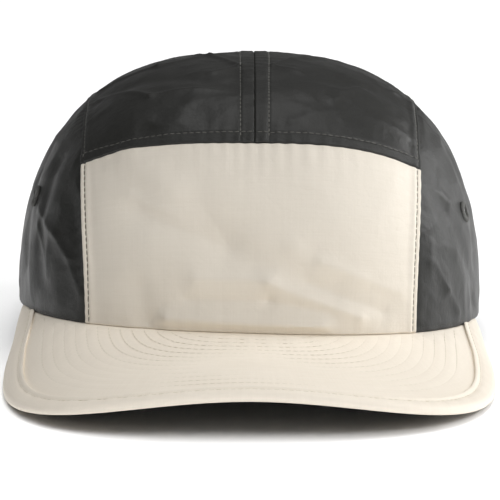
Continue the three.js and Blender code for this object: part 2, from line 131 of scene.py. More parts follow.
def mix(a, b, share):
    return a + (b - a) * share


def vectors(x, y, z):
    return np.stack(np.broadcast_arrays(x, y, z), axis=-1).astype(float)


def unit(v):
    return v / np.linalg.norm(v, axis=-1, keepdims=True)


def reach(d):
    """How far the dome lies from the middle of the rim along d, in lengths of d."""
    x, y, z = np.moveaxis(d, -1, 0)
    depth = np.where(y < 0, CROWN_FRONT, CROWN_BACK)
    power = np.where(y < 0, PLAN_FRONT, PLAN_BACK)
    plan = (np.abs(x / CROWN_HALF_WIDTH) ** power + np.abs(y / depth) ** power) ** (1 / power)
    rise = np.maximum(z, 0) / CROWN_HEIGHT
    facing = -y / (np.hypot(x, y) + 1e-9)
    q = DOME_SIDE + (np.where(facing > 0, DOME_FRONT, DOME_BACK) - DOME_SIDE) * facing**2
    return (plan**q + rise**q) ** (-1 / q)


def on_dome(d):
    return d * reach(d)[..., None]


def dome_normal(p):
    step = 0.02
    slopes = []
    for axis in range(3):
        move = np.zeros(3)
        move[axis] = step
        slopes.append(1 / reach(p + move) - 1 / reach(p - move))
    normal = np.stack(slopes, axis=-1)
    normal[..., 2] = np.where(p[..., 2] < step, 0, normal[..., 2])
    return normal / np.linalg.norm(normal, axis=-1, keepdims=True)


def solve(low, high, test):
    """The values between low and high where a rising test turns positive."""
    low, high = np.broadcast_arrays(np.asarray(low, float), np.asarray(high, float))
    low, high = low.copy(), high.copy()
    for _ in range(44):
        middle = (low + high) / 2
        over = test(middle) > 0
        high = np.where(over, middle, high)
        low = np.where(over, low, middle)
    return (low + high) / 2


def settle(p):
    """Tips the crown back and lets its hem rest on the surface."""
    x, y, z = np.moveaxis(p, -1, 0)
    from_back = CROWN_BACK - y
    fade = np.clip(1 - z / DROOP_HEIGHT, 0, 1) ** 2
    hanging = smooth(FLAT_HEM, FLAT_HEM + HEM_BLEND, from_back)
    lift = from_back * math.sin(TILT)
    droop = SIDE_DROOP * (x / CROWN_HALF_WIDTH) * hanging
    return vectors(
        x,
        CROWN_BACK - from_back * math.cos(TILT) + z * math.sin(TILT),
        lift + z * math.cos(TILT) - fade * (lift * (1 - hanging) + droop),
    )


# %% Curves on the dome


def rim_point(turn):
    return on_dome(vectors(np.sin(turn), -np.cos(turn), 0))


def strip_point(x, angle):
    """The dome point at x in the plane turned by angle about the cap's cross axis."""
    x, angle = np.broadcast_arrays(np.asarray(x, float), np.asarray(angle, float))
    def test(t):
        return t * reach(vectors(t, -np.cos(angle), np.sin(angle))) - np.abs(x)

    k = solve(np.zeros(x.shape), 30, test)
    return on_dome(vectors(k * np.sign(x), -np.cos(angle), np.sin(angle)))


def back_point(x, z):
    """The dome point at the back that is seen at x and z."""
    x, z = np.broadcast_arrays(np.asarray(x, float), np.asarray(z, float))
    y = solve(np.zeros(x.shape), CROWN_BACK, lambda t: 1 - reach(vectors(x, t, z)))
    return vectors(x, y, z)


def seam_half(angle):
    front = mix(SEAM_FRONT_RIM, SEAM_TOP, smooth(0, FRONT_SEAM_ANGLE, angle))
    return mix(front, SEAM_BACK_RIM, smooth(math.pi / 2, math.pi, angle))


def off_middle(shift, angle):
    """Real seams lie a little off the middle; these return to it towards the back."""
    return shift * (1 - smooth(math.radians(80), math.radians(150), angle))


def side_seam(side, angle, shift=0.0):
    return strip_point(side * (seam_half(angle) + shift) + off_middle(SIDE_SEAM_SHIFT, angle), angle)


def front_seam_angle(x):
    share = (x - SIDE_SEAM_SHIFT) / SEAM_TOP
    return FRONT_SEAM_ANGLE + FRONT_SEAM_LIFT * share**2 - FRONT_SEAM_SKEW * (0.3 * share + 0.7 * share**3)


def corner_x(side):
    return side * SEAM_TOP + SIDE_SEAM_SHIFT


def corner_angle(side):
    return front_seam_angle(corner_x(side))


PEAK_LENGTH = 68.0
SHIFT_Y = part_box("peak_binding")[0][1] / MM - (settle(rim_point(np.array(0.0)))[1] - PEAK_LENGTH)
print("crown stands", round(float(SHIFT_Y), 2), "mm behind the frame's origin")


def to_frame(p):
    """Crown millimetres to the frame's metres, for points that have settled."""
    return (p + np.array([0, SHIFT_Y, 0])) * MM


# %% [markdown]
# Folds and creases
#
# Thin nylon keeps soft hollows where it was pressed and finer creases where it was crumpled. The
# large ones are a short table, one row for each line of a fold, and the fine ones are noise with
# sharp ridges, laid over the dome in millimetres so that they keep their size on every panel.

# %% The table of folds and the crumple
FOLDS = [
    # face, start, end, width, depth: shares of the crown's sizes, a negative depth stands proud
    ("front", (0.03, 0.27), (0.34, 0.17), 0.060, 0.010),
    ("front", (0.27, 0.29), (0.58, 0.13), 0.055, 0.010),
    ("front", (0.18, 0.33), (0.46, 0.20), 0.040, -0.006),
    ("front", (-0.50, 0.66), (-0.33, 0.54), 0.060, -0.010),
    ("front", (-0.45, 0.48), (-0.10, 0.34), 0.100, 0.012),
    ("front", (-0.46, 0.16), (-0.42, 0.03), 0.050, 0.010),
    ("left", (-0.46, 0.60), (-0.62, 0.16), 0.050, 0.012),
    ("left", (-0.18, 0.66), (-0.40, 0.20), 0.060, 0.013),
    ("left", (0.30, 0.60), (0.10, 0.12), 0.080, 0.014),
    ("right", (-0.62, 0.42), (-0.40, 0.08), 0.050, 0.012),
    ("right", (-0.20, 0.62), (-0.34, 0.22), 0.060, 0.012),
    ("right", (0.34, 0.62), (0.16, 0.10), 0.080, 0.014),
    ("top", (-0.62, -0.30), (-0.05, -0.52), 0.060, 0.011),
    ("top", (0.60, -0.34), (0.08, -0.50), 0.060, 0.011),
    ("top", (-0.50, 0.46), (0.42, 0.36), 0.120, 0.016),
]


CREASES = [
    # face, start, end, width and height in millimetres, a negative height is a hollow
    ("left", (-0.47, 0.42), (-0.67, 0.34), 1.8, 0.55),
    ("left", (-0.67, 0.34), (-0.76, 0.26), 1.8, 0.6),
    ("left", (-0.76, 0.26), (-0.84, 0.09), 1.6, 0.55),
    ("left", (-0.50, 0.37), (-0.62, 0.26), 1.5, 0.45),
    ("left", (-0.64, 0.31), (-0.66, 0.17), 1.6, 0.35),
    ("left", (-0.71, 0.46), (-0.82, 0.25), 8.0, -1),
    ("left", (-0.26, 0.77), (-0.24, 0.60), 2.2, 0.45),
    ("left", (-0.58, 0.67), (-0.61, 0.60), 1.6, 0.35),
    ("left", (-0.47, 0.25), (-0.55, 0.05), 2.5, 0.35),
    ("right", (-0.29, 0.76), (-0.28, 0.68), 1.5, 0.45),
    ("right", (-0.28, 0.68), (-0.21, 0.63), 1.5, 0.45),
    ("right", (-0.64, 0.53), (-0.57, 0.46), 2.0, 0.5),
    ("right", (-0.57, 0.46), (-0.61, 0.37), 1.8, 0.5),
    ("right", (-0.61, 0.37), (-0.61, 0.26), 1.8, 0.45),
    ("right", (-0.77, 0.36), (-0.70, 0.39), 1.6, 0.4),
    ("right", (-0.75, 0.32), (-0.77, 0.25), 1.6, 0.45),
    ("right", (-0.77, 0.25), (-0.77, 0.20), 1.6, 0.35),
    ("right", (-0.75, 0.24), (-0.69, 0.14), 1.5, 0.6),
    ("right", (-0.69, 0.14), (-0.62, 0.05), 1.5, 0.55),
    ("right", (-0.48, 0.16), (-0.36, 0.09), 1.8, 0.4),
    ("right", (-0.52, 0.60), (-0.66, 0.48), 2.6, -0.5),
    ("top", (-0.65, -0.28), (-0.42, -0.53), 1.5, 0.85),
    ("top", (-0.42, -0.53), (-0.10, -0.57), 1.5, 0.77),
    ("top", (-0.64, -0.13), (-0.39, -0.19), 1.7, 0.85),
    ("top", (-0.39, -0.19), (-0.12, -0.10), 1.7, 0.68),
    ("top", (-0.24, 0.00), (-0.04, -0.33), 1.4, 0.85),
    ("top", (-0.16, -0.41), (-0.04, -0.34), 1.4, 0.59),
    ("top", (-0.58, -0.70), (-0.42, -0.70), 2.5, -0.68),
    ("top", (0.10, -0.32), (0.29, -0.03), 1.4, 0.85),
    ("top", (0.10, -0.33), (0.22, -0.39), 1.4, 0.59),
    ("top", (0.35, -0.59), (0.47, -0.41), 1.7, 0.77),
    ("top", (0.61, -0.24), (0.74, -0.18), 1.5, 0.77),
    ("top", (0.17, -0.73), (0.36, -0.65), 1.9, 0.59),
    ("top", (0.52, -0.61), (0.66, -0.57), 1.7, 0.59),
    ("front", (-0.26, 0.125), (0.08, 0.125), 2.4, -0.9),
    ("front", (0.08, 0.125), (0.33, 0.085), 2.4, -1.0),
    ("front", (0.24, 0.195), (0.56, 0.085), 2.6, -1.0),
    ("front", (-0.22, 0.205), (0.10, 0.205), 3.8, 1.3),
    ("front", (0.08, 0.195), (0.46, 0.065), 3.0, 1.4),
    ("front", (0.30, 0.270), (0.62, 0.150), 3.8, 1.2),
    ("front", (-0.34, 0.050), (0.30, 0.030), 4.0, 2.0),
    ("front", (-0.46, 0.46), (-0.11, 0.34), 7, -1.6),
    ("front", (-0.50, 0.52), (-0.30, 0.45), 2.6, 0.8),
    ("front", (-0.42, 0.02), (-0.36, 0.10), 2.4, -0.3),
    ("front", (-0.20, 0.49), (-0.07, 0.32), 5, -0.64),
]

# %% [markdown]
# Folds and creases as heights
#
# A fold in cloth is a soft hollow or ridge along a line, and a crease is narrower, with a sharper
# crest. Both could be sculpted by hand. Here each is a bell curve of the distance from its line, so
# the tables above stay the only place that says where they lie.

# %% Heights along lines


def segment_distance(x, y, a, b):
    dx, dy = b[0] - a[0], b[1] - a[1]
    t = np.clip(((x - a[0]) * dx + (y - a[1]) * dy) / (dx * dx + dy * dy), 0, 1)
    return np.hypot(x - a[0] - t * dx, y - a[1] - t * dy)


def along_lines(p, normal, table):
    """Each row of a table with its size, the distance from its line and how squarely it is seen."""
    x, y, z = np.moveaxis(p, -1, 0)
    views = {
        "front": (x, z, CROWN_HALF_WIDTH, CROWN_HEIGHT, -normal[..., 1]),
        "left": (y, z, CROWN_FRONT, CROWN_HEIGHT, -normal[..., 0]),
        "right": (y, z, CROWN_FRONT, CROWN_HEIGHT, normal[..., 0]),
        "top": (x, y, CROWN_HALF_WIDTH, CROWN_FRONT, normal[..., 2]),
    }
    for face, start, end, width, size in table:
        u, v, u_size, v_size, facing = views[face]
        a = (start[0] * u_size, start[1] * v_size)
        b = (end[0] * u_size, end[1] * v_size)
        yield width, size, segment_distance(u, v, a, b), smooth(0, 0.4, facing)


def fold_depth(p, normal):
    depth = np.zeros(p.shape[:-1])
    for width, deep, away, facing in along_lines(p, normal, FOLDS):
        depth += deep * CROWN_HEIGHT * np.exp(-((away / (width * CROWN_HEIGHT)) ** 2)) * facing
    return depth


def crease_height(p):
    """Narrow creases with a crest that is sharper than a fold's."""
    out = np.zeros(p.shape[:-1])
    for width, height, away, facing in along_lines(p, unit(p), CREASES):
        out += height * np.exp(-((away / width) ** 1.3)) * facing
    return out

# %% [markdown]
# Crumple and gathers
#
# Worn nylon is covered in small sharp creases, and a seam gathers the cloth between its stitches. A
# cloth simulation makes both, but not where the photograph has them. Noise that is folded over at
# zero gives the creases, and a sine wave that fades away from the seam gives the gathers.

# %% Crumple and gathers


def crumple(p, size, stretch=(1.0, 1.0, 1.0), seed=0.0):
    """Noise with sharp creases, from -1 to 1, whose creases are about size millimetres apart."""
    flat = (p * np.array(stretch) / size + seed).reshape(-1, 3)
    values = [1 - 2 * abs(noise.noise(Vector(v))) - 0.5 for v in flat]
    return np.array(values).reshape(p.shape[:-1])


def pucker(along, away, pitch, depth, seed=0.0):
    """Small gathers that run out from a seam and fade with the distance from it."""
    phase = 2 * math.pi * along / pitch + 1.6 * np.sin(along / 9.0 + seed)
    strength = 0.6 + 0.4 * np.sin(along / 13.0 + 2 * seed)
    return depth * np.sin(phase) * strength * np.exp(-away / (1.6 * pitch))


# %% [markdown]
# Panels
#
# A panel is cut flat and sewn to its neighbours. It could be modelled by extruding strips, but a
# grid that is laid on the dome between four seam curves keeps even faces for the small relief:
# rolled edges, the raised seam allowance, the groove under each row of stitches, and the puckers.
# The primitive grid is the flat cut, code moves its points, and Solidify gives the wall.

# %% The panel class


class Panel:
    def __init__(self, name, hem, top, left, right, relief):
        self.name, self.relief = name, relief
        self.edges = (hem, top, left, right)
        self.corners = [hem(np.array(0.0)), hem(np.array(1.0)), top(np.array(0.0)), top(np.array(1.0))]
        ticks = np.linspace(0, 1, 41)
        s, t = np.meshgrid(ticks, ticks)
        grid = self.dome_point(s, t)
        across = np.linalg.norm(np.diff(grid, axis=1), axis=-1).sum(1)
        along = np.linalg.norm(np.diff(grid, axis=0), axis=-1).sum(0)
        self.width = lambda v: np.interp(v, ticks, across)
        self.height = lambda u: np.interp(u, ticks, along)

    def dome_point(self, s, t):
        hem, top, left, right = self.edges
        s, t = np.broadcast_arrays(np.asarray(s, float), np.asarray(t, float))
        a, b = s[..., None], t[..., None]
        c = self.corners
        p = hem(s) * (1 - b) + top(s) * b + left(t) * (1 - a) + right(t) * a
        p = p - (c[0] * (1 - a) * (1 - b) + c[1] * a * (1 - b) + c[2] * (1 - a) * b + c[3] * a * b)
        return on_dome(p)

    def distances(self, s, t):
        """Millimetres from the left, right, hem and top edges."""
        width, height = self.width(t), self.height(s)
        return s * width, (1 - s) * width, t * height, (1 - t) * height

    def surface(self, s, t):
        """The cloth's outer face, settled, in crown millimetres."""
        p = self.dome_point(s, t)
        normal = dome_normal(p)
        out = self.relief(p, *self.distances(s, t)) - fold_depth(p, normal)
        return settle(p + normal * out[..., None])

    def frame_at(self, s, t):
        """Points with their directions along s, along t and out of the cloth."""
        step = 0.002
        point = self.surface(s, t)
        along_s = self.surface(s + step, t) - self.surface(s - step, t)
        along_t = self.surface(s, t + step) - self.surface(s, t - step)
        normal = np.cross(along_s, along_t)
        middle = settle(np.zeros(3))
        flip = np.sign(np.sum(normal * (point - middle), axis=-1, keepdims=True))
        return point, unit(normal * flip)

# %% [markdown]
# From a flat grid to a finished piece
#
# A cloth piece is cut flat and sewn into its shape. It could be a simulated sheet, but the seams have
# to lie where the photograph has them. So a primitive grid stands for the cut cloth, its vertices are
# laid on the surface, and each piece is then finished in the same way.

# %% Laying and finishing a grid


def lay_grid(name, columns, rows, place, cloth_size=None):
    """A primitive grid whose points are moved to place(s, t), with the cloth's own coordinates as its UV map.
    """
    bpy.ops.object.select_all(action="DESELECT")
    bpy.ops.mesh.primitive_grid_add(x_subdivisions=columns, y_subdivisions=rows, size=2)
    piece = bpy.context.object
    piece.name = piece.data.name = name
    mesh = piece.data
    flat = np.empty(len(mesh.vertices) * 3)
    mesh.vertices.foreach_get("co", flat)
    s, t = (flat.reshape(-1, 3)[:, :2].T + 1) / 2
    points = place(s, t)
    mesh.vertices.foreach_set("co", to_frame(points).ravel())
    width, height = cloth_size or (100.0, 100.0)
    loops = np.empty(len(mesh.loops), dtype=int)
    mesh.loops.foreach_get("vertex_index", loops)
    uv = np.stack([s[loops] * width, t[loops] * height], axis=-1) / 100
    mesh.uv_layers[0].name = "cloth"
    mesh.uv_layers[0].data.foreach_set("uv", uv.ravel())
    mesh.update()
    return piece


def face_outwards(piece, middle):
    """Turns the faces round if most of them look towards the middle."""
    mesh = piece.data
    count = len(mesh.polygons)
    normals = np.empty(count * 3)
    centres = np.empty(count * 3)
    mesh.polygons.foreach_get("normal", normals)
    mesh.polygons.foreach_get("center", centres)
    outward = np.sum(normals.reshape(-1, 3) * (centres.reshape(-1, 3) - middle), axis=1)
    if np.median(outward) < 0:
        bpy.ops.object.mode_set(mode="EDIT")
        bpy.ops.mesh.select_all(action="SELECT")
        bpy.ops.mesh.flip_normals()
        bpy.ops.object.mode_set(mode="OBJECT")


def apply_modifier(piece, kind, **settings):
    bpy.context.view_layer.objects.active = piece
    bpy.ops.object.modifier_add(type=kind)
    modifier = piece.modifiers[-1]
    for key, value in settings.items():
        setattr(modifier, key, value)
    bpy.ops.object.modifier_apply(modifier=modifier.name)


def finish_piece(piece, slot, material, *nodes):
    bpy.ops.object.select_all(action="DESELECT")
    piece.select_set(True)
    bpy.context.view_layer.objects.active = piece
    bpy.ops.object.shade_smooth_by_angle(angle=math.radians(50))
    piece.data.materials.clear()
    piece.data.materials.append(material)
    if nodes:
        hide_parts(*nodes)
    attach(piece, BODY)
    print(piece.name, len(piece.data.polygons), "faces")


CROWN_MIDDLE = to_frame(settle(np.array([0.0, 0.0, 20.0])))

# %% [markdown]
# Shader expressions
#
# A finish is a small sum: a colour, a weave, a crumple. Wired by hand it is dozens of nodes, so
# one class wraps a socket and turns Python's operators into Math nodes, and one method makes any
# other node from its type, its settings and its inputs.

# %% A socket class and a node-making method


class Wire:
    def __init__(self, finish, socket):
        self.finish, self.socket = finish, socket

    def maths(self, operation, a, b):
        return self.finish.node("ShaderNodeMath", {"operation": operation}, {0: a, 1: b})

    def __add__(self, other):
        return self.maths("ADD", self, other)

    def __sub__(self, other):
        return self.maths("SUBTRACT", self, other)

    def __mul__(self, other):
        return self.maths("MULTIPLY", self, other)

    def __rsub__(self, other):
        return self.maths("SUBTRACT", other, self)

    __radd__ = __add__
    __rmul__ = __mul__

    def sin(self):
        return self.maths("SINE", self, 0.0)

    def abs(self):
        return self.maths("ABSOLUTE", self, 0.0)

# %% [markdown]
# Materials as expressions
#
# A woven finish is a sum of small patterns. Built by hand it takes dozens of nodes that all look
# alike. With the socket class above, and one method here that makes any other node, each finish
# reads as its formula.

# %% A material and its nodes


class Finish:
    """A material whose nodes are made one expression at a time."""

    def __init__(self, name):
        self.material = bpy.data.materials.new(name)
        self.material.use_nodes = True
        self.tree = self.material.node_tree
        self.tree.nodes.clear()
        self.shader = self.tree.nodes.new("ShaderNodeBsdfPrincipled")
        output = self.tree.nodes.new("ShaderNodeOutputMaterial")
        self.tree.links.new(self.shader.outputs[0], output.inputs[0])

    def node(self, kind, settings=None, inputs=None, output=0):
        made = self.tree.nodes.new(kind)
        for key, value in (settings or {}).items():
            if key == "stops":
                for element, (place, colour) in zip(made.color_ramp.elements, value):
                    element.position, element.color = place, colour
            else:
                setattr(made, key, value)
        for key, value in (inputs or {}).items():
            self.feed(made.inputs[key], value)
        return Wire(self, made.outputs[output])

    def feed(self, socket, value):
        if isinstance(value, Wire):
            self.tree.links.new(value.socket, socket)
        else:
            socket.default_value = value

    def set(self, **inputs):
        for key, value in inputs.items():
            self.feed(self.shader.inputs[key.replace("_", " ")], value)

    def place(self, scale):
        """The cloth's own coordinates, in hundreds of millimetres, stretched by scale."""
        uv = self.node("ShaderNodeUVMap", {"uv_map": "cloth"})
        return self.node("ShaderNodeMapping", {}, {"Vector": uv, "Scale": scale})

    def noise(self, where, scale, detail=3.0, roughness=0.5):
        return self.node(
            "ShaderNodeTexNoise",
            {"noise_dimensions": "3D"},
            {"Vector": where, "Scale": scale, "Detail": detail, "Roughness": roughness},
        )

    def objects(self):
        return self.node("ShaderNodeTexCoord", {}, {}, 3)

    def bump(self, height, distance, strength=1.0, below=None):
        inputs = {"Height": height, "Distance": distance, "Strength": strength}
        if below is not None:
            inputs["Normal"] = below
        return self.node("ShaderNodeBump", {}, inputs)

    def shade(self, factor, dark, light):
        return self.node(
            "ShaderNodeValToRGB", {"stops": ((0.0, (*dark, 1.0)), (1.0, (*light, 1.0)))}, {0: factor}
        )


def linear(red, green, blue):
    """A colour as a screen shows it, from 0 to 255, as the shader's linear values."""
    return tuple(((c / 255 + 0.055) / 1.055) ** 2.4 for c in (red, green, blue))


# %% [markdown]
# Nylon
#
# The cloth is a fine plain weave with slubs: some threads are a little thicker, so faint lines run
# along both threads. Its surface catches a soft light, more on the charcoal than on the cream.
# The weave could be an image, but sines of the cloth's own coordinates stay sharp close up.

# %% The nylon finish
TURNS = 2 * math.pi
THREAD = 0.34


def nylon(name, dark, light, roughness, sheen, weave_height, crumple_height, seed):
    finish = Finish(name)
    uv = finish.place((1.0, 1.0, 1.0))
    split = finish.tree.nodes.new("ShaderNodeSeparateXYZ")
    finish.tree.links.new(uv.socket, split.inputs[0])
    u, v = Wire(finish, split.outputs[0]), Wire(finish, split.outputs[1])
    turns = TURNS * 100 / THREAD
    weave = (u * turns).sin() * (v * turns).sin()
    upright = finish.noise(finish.place((170.0, 4.0, 1.0)), 1.0, 2.0)
    level = finish.noise(finish.place((4.0, 170.0, 1.0)), 1.0, 2.0)
    slubs = (upright + level) * 0.5
    patches = finish.noise(finish.objects(), 38.0 + seed, 2.0)
    creases = finish.noise(finish.objects(), 160.0 + seed, 4.0, 0.55)
    tone = slubs * 0.75 + patches * 0.25
    lines = finish.bump(weave * 0.5 + slubs * 2.5, weave_height * MM)
    crinkled = finish.bump((creases - 0.5).abs(), crumple_height * MM, 1.0, lines)
    finish.set(Base_Color=finish.shade(tone, dark, light), Normal=crinkled)
    finish.set(Roughness=patches * 0.16 + (roughness - 0.08), Sheen_Weight=sheen, Sheen_Roughness=0.4)
    finish.set(Specular_IOR_Level=0.42)
    return finish.material


cream = nylon("cream_nylon", linear(231, 222, 207), linear(244, 236, 223), 0.60, 0.03, 0.020, 0.25, 0.0)
charcoal = nylon("charcoal_nylon", linear(30, 30, 28), linear(46, 46, 43), 0.46, 0.04, 0.022, 0.40, 7.0)
lining = nylon("band_twill", linear(52, 52, 50), linear(84, 84, 80), 0.80, 0.20, 0.060, 0.10, 3.0)


def thread_finish(name, dark, light):
    finish = Finish(name)
    strands = finish.noise(finish.objects(), 2400.0, 2.0)
    finish.set(Base_Color=finish.shade(strands, dark, light), Roughness=0.6, Sheen_Weight=0.3)
    finish.set(Normal=finish.bump(strands, 0.03 * MM))
    return finish.material


dark_thread = thread_finish("dark_thread", linear(74, 73, 68), linear(118, 116, 108))
eyelet_thread = thread_finish("eyelet_thread", linear(66, 66, 63), linear(108, 108, 104))
# Painted shade: this thread's brown darkens the front panel's edge stitches as if they lay shaded in their
# groove.
shade_darkened_thread = thread_finish("shaded_thread", linear(70, 65, 50), linear(104, 97, 78))
cream_thread = thread_finish("cream_thread", linear(206, 196, 176), linear(240, 232, 214))

# %% [markdown]
# Seams
#
# The front and top panels lap over the side panels: their edge is folded under, so it stands a
# little proud, with one row of stitches close to it. Where two panels are joined face to face, both
# edges roll down into the seam, and the layers behind it raise the cloth as far as the stitches.

# %% Relief of the seams
EDGE_STITCH, FRONT_EDGE_STITCH = 1.2, 1.55
LAP = 2.5
LAP_LIFT = 0.45
CENTRE_STITCH = 5.5
FRONT_STITCH = 4.6
OPENING_STITCH = 5.0


def rolled(away, radius):
    """How far a rolled edge drops, as a quarter circle."""
    inside = np.clip(radius - away, 0, radius)
    return -(radius - np.sqrt(np.maximum(radius**2 - inside**2, 0)))


def groove(away, place, depth, width=0.55):
    return -depth * np.exp(-(((away - place) / width) ** 2))


def raised(away, width, height):
    return height * (1 - smooth(width * 0.75, width * 1.35, away))


def lapped_edge(away, along, seed, stitch):
    """An edge that is folded under and stitched close to its fold."""
    gathers = pucker(along, away, 4.6, 0.10, seed)
    return raised(away, 3.2, LAP_LIFT) + rolled(away, 0.5) + groove(away, stitch, 0.34, 0.4) + gathers


def fine_crumple(p, size, height, seed, nearest_edge):
    """Creases over a panel, none at its edges, where the next panel has to meet it."""
    large = crumple(p, size, (1.0, 1.0, 0.55), seed)
    small = crumple(p, size * 0.42, (1.0, 0.8, 0.8), seed + 11)
    fine = height * (0.6 * large + 0.4 * small) * smooth(1.0, 7.0, nearest_edge)
    return fine + crease_height(p) * smooth(0.3, 3.5, nearest_edge)


def front_relief(p, left, right, hem, top):
    x, z = p[..., 0], p[..., 2]
    out = lapped_edge(left, z, 1.0, FRONT_EDGE_STITCH) + lapped_edge(right, z, 2.3, FRONT_EDGE_STITCH)
    out += rolled(top, 0.7) + rolled(hem, 0.9)
    out += pucker(x, top, 5.2, 0.17, 0.4) + pucker(x, hem, 6.4, 0.10, 1.9)
    return out + fine_crumple(p, 26.0, 0.32, 3.1, np.minimum.reduce([left, right, hem, top]))


def top_relief(seed):
    def relief(p, left, right, hem, top):
        y, x = p[..., 1], p[..., 0]
        out = raised(left, CENTRE_STITCH, 0.35) + rolled(left, 0.7) + groove(left, CENTRE_STITCH, 0.32)
        out += lapped_edge(right, y, seed, EDGE_STITCH)
        out += raised(hem, FRONT_STITCH, 0.35) + rolled(hem, 0.7) + groove(hem, FRONT_STITCH, 0.30)
        out += rolled(top, 1.0) + groove(top, OPENING_STITCH, 0.25)
        out += pucker(x, hem, 5.2, 0.20, 0.4) + pucker(y, left, 6.0, 0.16, seed + 1)
        return out + fine_crumple(p, 22.0, 0.75, seed * 3.7, np.minimum.reduce([left, right, hem, top]))

    return relief


def side_relief(seed):
    def relief(p, left, right, hem, top):
        seam = np.minimum(np.minimum(left, right), top)
        out = -LAP_LIFT * (1 - smooth(LAP, LAP + 3.0, seam)) + rolled(hem, 0.6)
        out += pucker(p[..., 1] + p[..., 2], np.maximum(seam - LAP, 0), 5.4, 0.20, seed)
        out += pucker(p[..., 1], hem, 8.0, 0.12, seed + 2)
        return out + fine_crumple(p, 25.0, 0.85, seed * 5.3, np.minimum(seam - LAP, hem))

    return relief


# %% The five panels


def front_panel():
    def edge(side):
        return lambda t: side_seam(side, t * corner_angle(side))

    def top(s):
        x = mix(corner_x(-1), corner_x(1), s)
        return strip_point(x, front_seam_angle(x))

    hem = lambda s: strip_point(mix(-SEAM_FRONT_RIM, SEAM_FRONT_RIM, s) + SIDE_SEAM_SHIFT, 0.0)
    return Panel("front_cloth", hem, top, edge(-1), edge(1), front_relief)


ARCH_SHARE = 10 / 12


def opening_edge(s):
    """The arch of the back opening from its top to the rim, then the rim out to the side seam."""
    turn = np.clip(s / ARCH_SHARE, 0, 1) * math.pi / 2
    out = np.clip((s - ARCH_SHARE) / (1 - ARCH_SHARE), 0, 1)
    x = OPENING_HALF * np.sin(turn) + (SEAM_BACK_RIM - OPENING_HALF) * out
    return back_point(x, OPENING_HEIGHT * np.cos(turn))


def top_panel(side, seed):
    mirror = np.array([side, 1, 1])
    arch_top = back_point(0.0, OPENING_HEIGHT)
    arch_angle = math.atan2(arch_top[2], -arch_top[1])

    def hem(s):
        x = mix(CENTRE_SEAM_SHIFT, corner_x(side), s)
        return strip_point(x, front_seam_angle(x))

    def left(t):
        angle = mix(front_seam_angle(CENTRE_SEAM_SHIFT), arch_angle, t)
        return strip_point(off_middle(CENTRE_SEAM_SHIFT, angle), angle)

    top = lambda s: opening_edge(s) * mirror
    right = lambda t: side_seam(side, mix(corner_angle(side), math.pi, t))
    name = "top_cloth_right" if side > 0 else "top_cloth_left"
    return Panel(name, hem, top, left, right, top_relief(seed))


def side_panel(side, seed):
    corner = corner_angle(side)
    low, far = side_seam(side, np.array(0.0), -LAP), side_seam(side, np.array(math.pi), -LAP)
    front_turn, back_turn = math.atan2(low[0], -low[1]), math.atan2(far[0], -far[1])
    hem = lambda s: rim_point(mix(front_turn, back_turn, s))
    top = lambda s: side_seam(side, mix(corner, REAR_CORNER_ANGLE, s), -LAP)
    left = lambda t: side_seam(side, corner * t, -LAP)
    right = lambda t: side_seam(side, mix(math.pi, REAR_CORNER_ANGLE, t), -LAP)
    name = "side_cloth_right" if side > 0 else "side_cloth_left"
    return Panel(name, hem, top, left, right, side_relief(seed))

# %% [markdown]
# Laying a panel
#
# Stitches and rolled edges need fine detail, and the middle of a panel does not. The grid could be
# fine all over, at four times the faces. It is fine in a band along each seam and coarse between,
# and Solidify then gives the cloth its thickness inwards, because the outer face is the fitted one.

# %% From a panel to its piece
FINE = 0.27


def cuts(size, coarse, first, last):
    """Places across a cloth: fine near its first and last edges, coarse between."""
    start = np.arange(0, first, FINE)
    end = size - np.arange(0, last, FINE)[::-1]
    middle = np.linspace(first, size - last, int((size - first - last) / coarse) + 2)
    return np.concatenate([start, middle, end]) / size


def build_panel(panel, coarse, fine_s, fine_t, slot, material, node, hole=None):
    size = (float(panel.width(0.5)), float(panel.height(0.5)))
    across, along = cuts(size[0], coarse, *fine_s), cuts(size[1], coarse, *fine_t)

    def place(a, b):
        s = np.interp(a * (len(across) - 1), np.arange(len(across)), across)
        t = np.interp(b * (len(along) - 1), np.arange(len(along)), along)
        return panel.surface(s, t)

    piece = lay_grid(panel.name, len(across) - 1, len(along) - 1, place, size)
    face_outwards(piece, CROWN_MIDDLE)
    if hole is not None:
        cut_hole(piece, *hole)
    apply_modifier(piece, "SOLIDIFY", thickness=CLOTH * MM, offset=-1.0, use_even_offset=False)
    finish_piece(piece, slot, material, node)
    return piece


def cut_hole(piece, centre, radius):
    """Deletes the faces within a radius of a point, for an eyelet."""
    mesh = piece.data
    centres = np.empty(len(mesh.polygons) * 3)
    mesh.polygons.foreach_get("center", centres)
    near = np.linalg.norm(centres.reshape(-1, 3) - centre, axis=1) < radius
    mesh.polygons.foreach_set("select", near)
    bpy.ops.object.mode_set(mode="EDIT")
    bpy.ops.mesh.select_mode(type="FACE")
    bpy.ops.object.mode_set(mode="OBJECT")
    mesh.polygons.foreach_set("select", near)
    bpy.ops.object.mode_set(mode="EDIT")
    bpy.ops.mesh.delete(type="FACE")
    bpy.ops.object.mode_set(mode="OBJECT")

# %% [markdown]
# Seats of the eyelets
#
# Each side panel has a small round vent, cut in the cloth and ringed with thread. The hole could be
# a boolean, which leaves long thin faces in crumpled cloth. Deleting the small faces within the
# ring does as well, because the ring hides the cut.

# %% Places of the eyelets
EYELETS = {-1: (65.5, 26.5), 1: (62.5, 23.0)}


def eyelet_seat(side):
    """The point on the dome, settled and in metres, and the axis out of the cloth."""
    turn, rise = (math.radians(a) for a in EYELETS[side])

    def on(a, b):
        p = on_dome(np.array([math.sin(a) * math.cos(b), -math.cos(a) * math.cos(b), math.sin(b)]))
        return settle(p - dome_normal(p) * fold_depth(p, dome_normal(p))[..., None])

    step = 0.02
    along = on(side * turn + step, rise) - on(side * turn - step, rise)
    up = on(side * turn, rise + step) - on(side * turn, rise - step)
    return to_frame(on(side * turn, rise)), unit(np.cross(along, up))

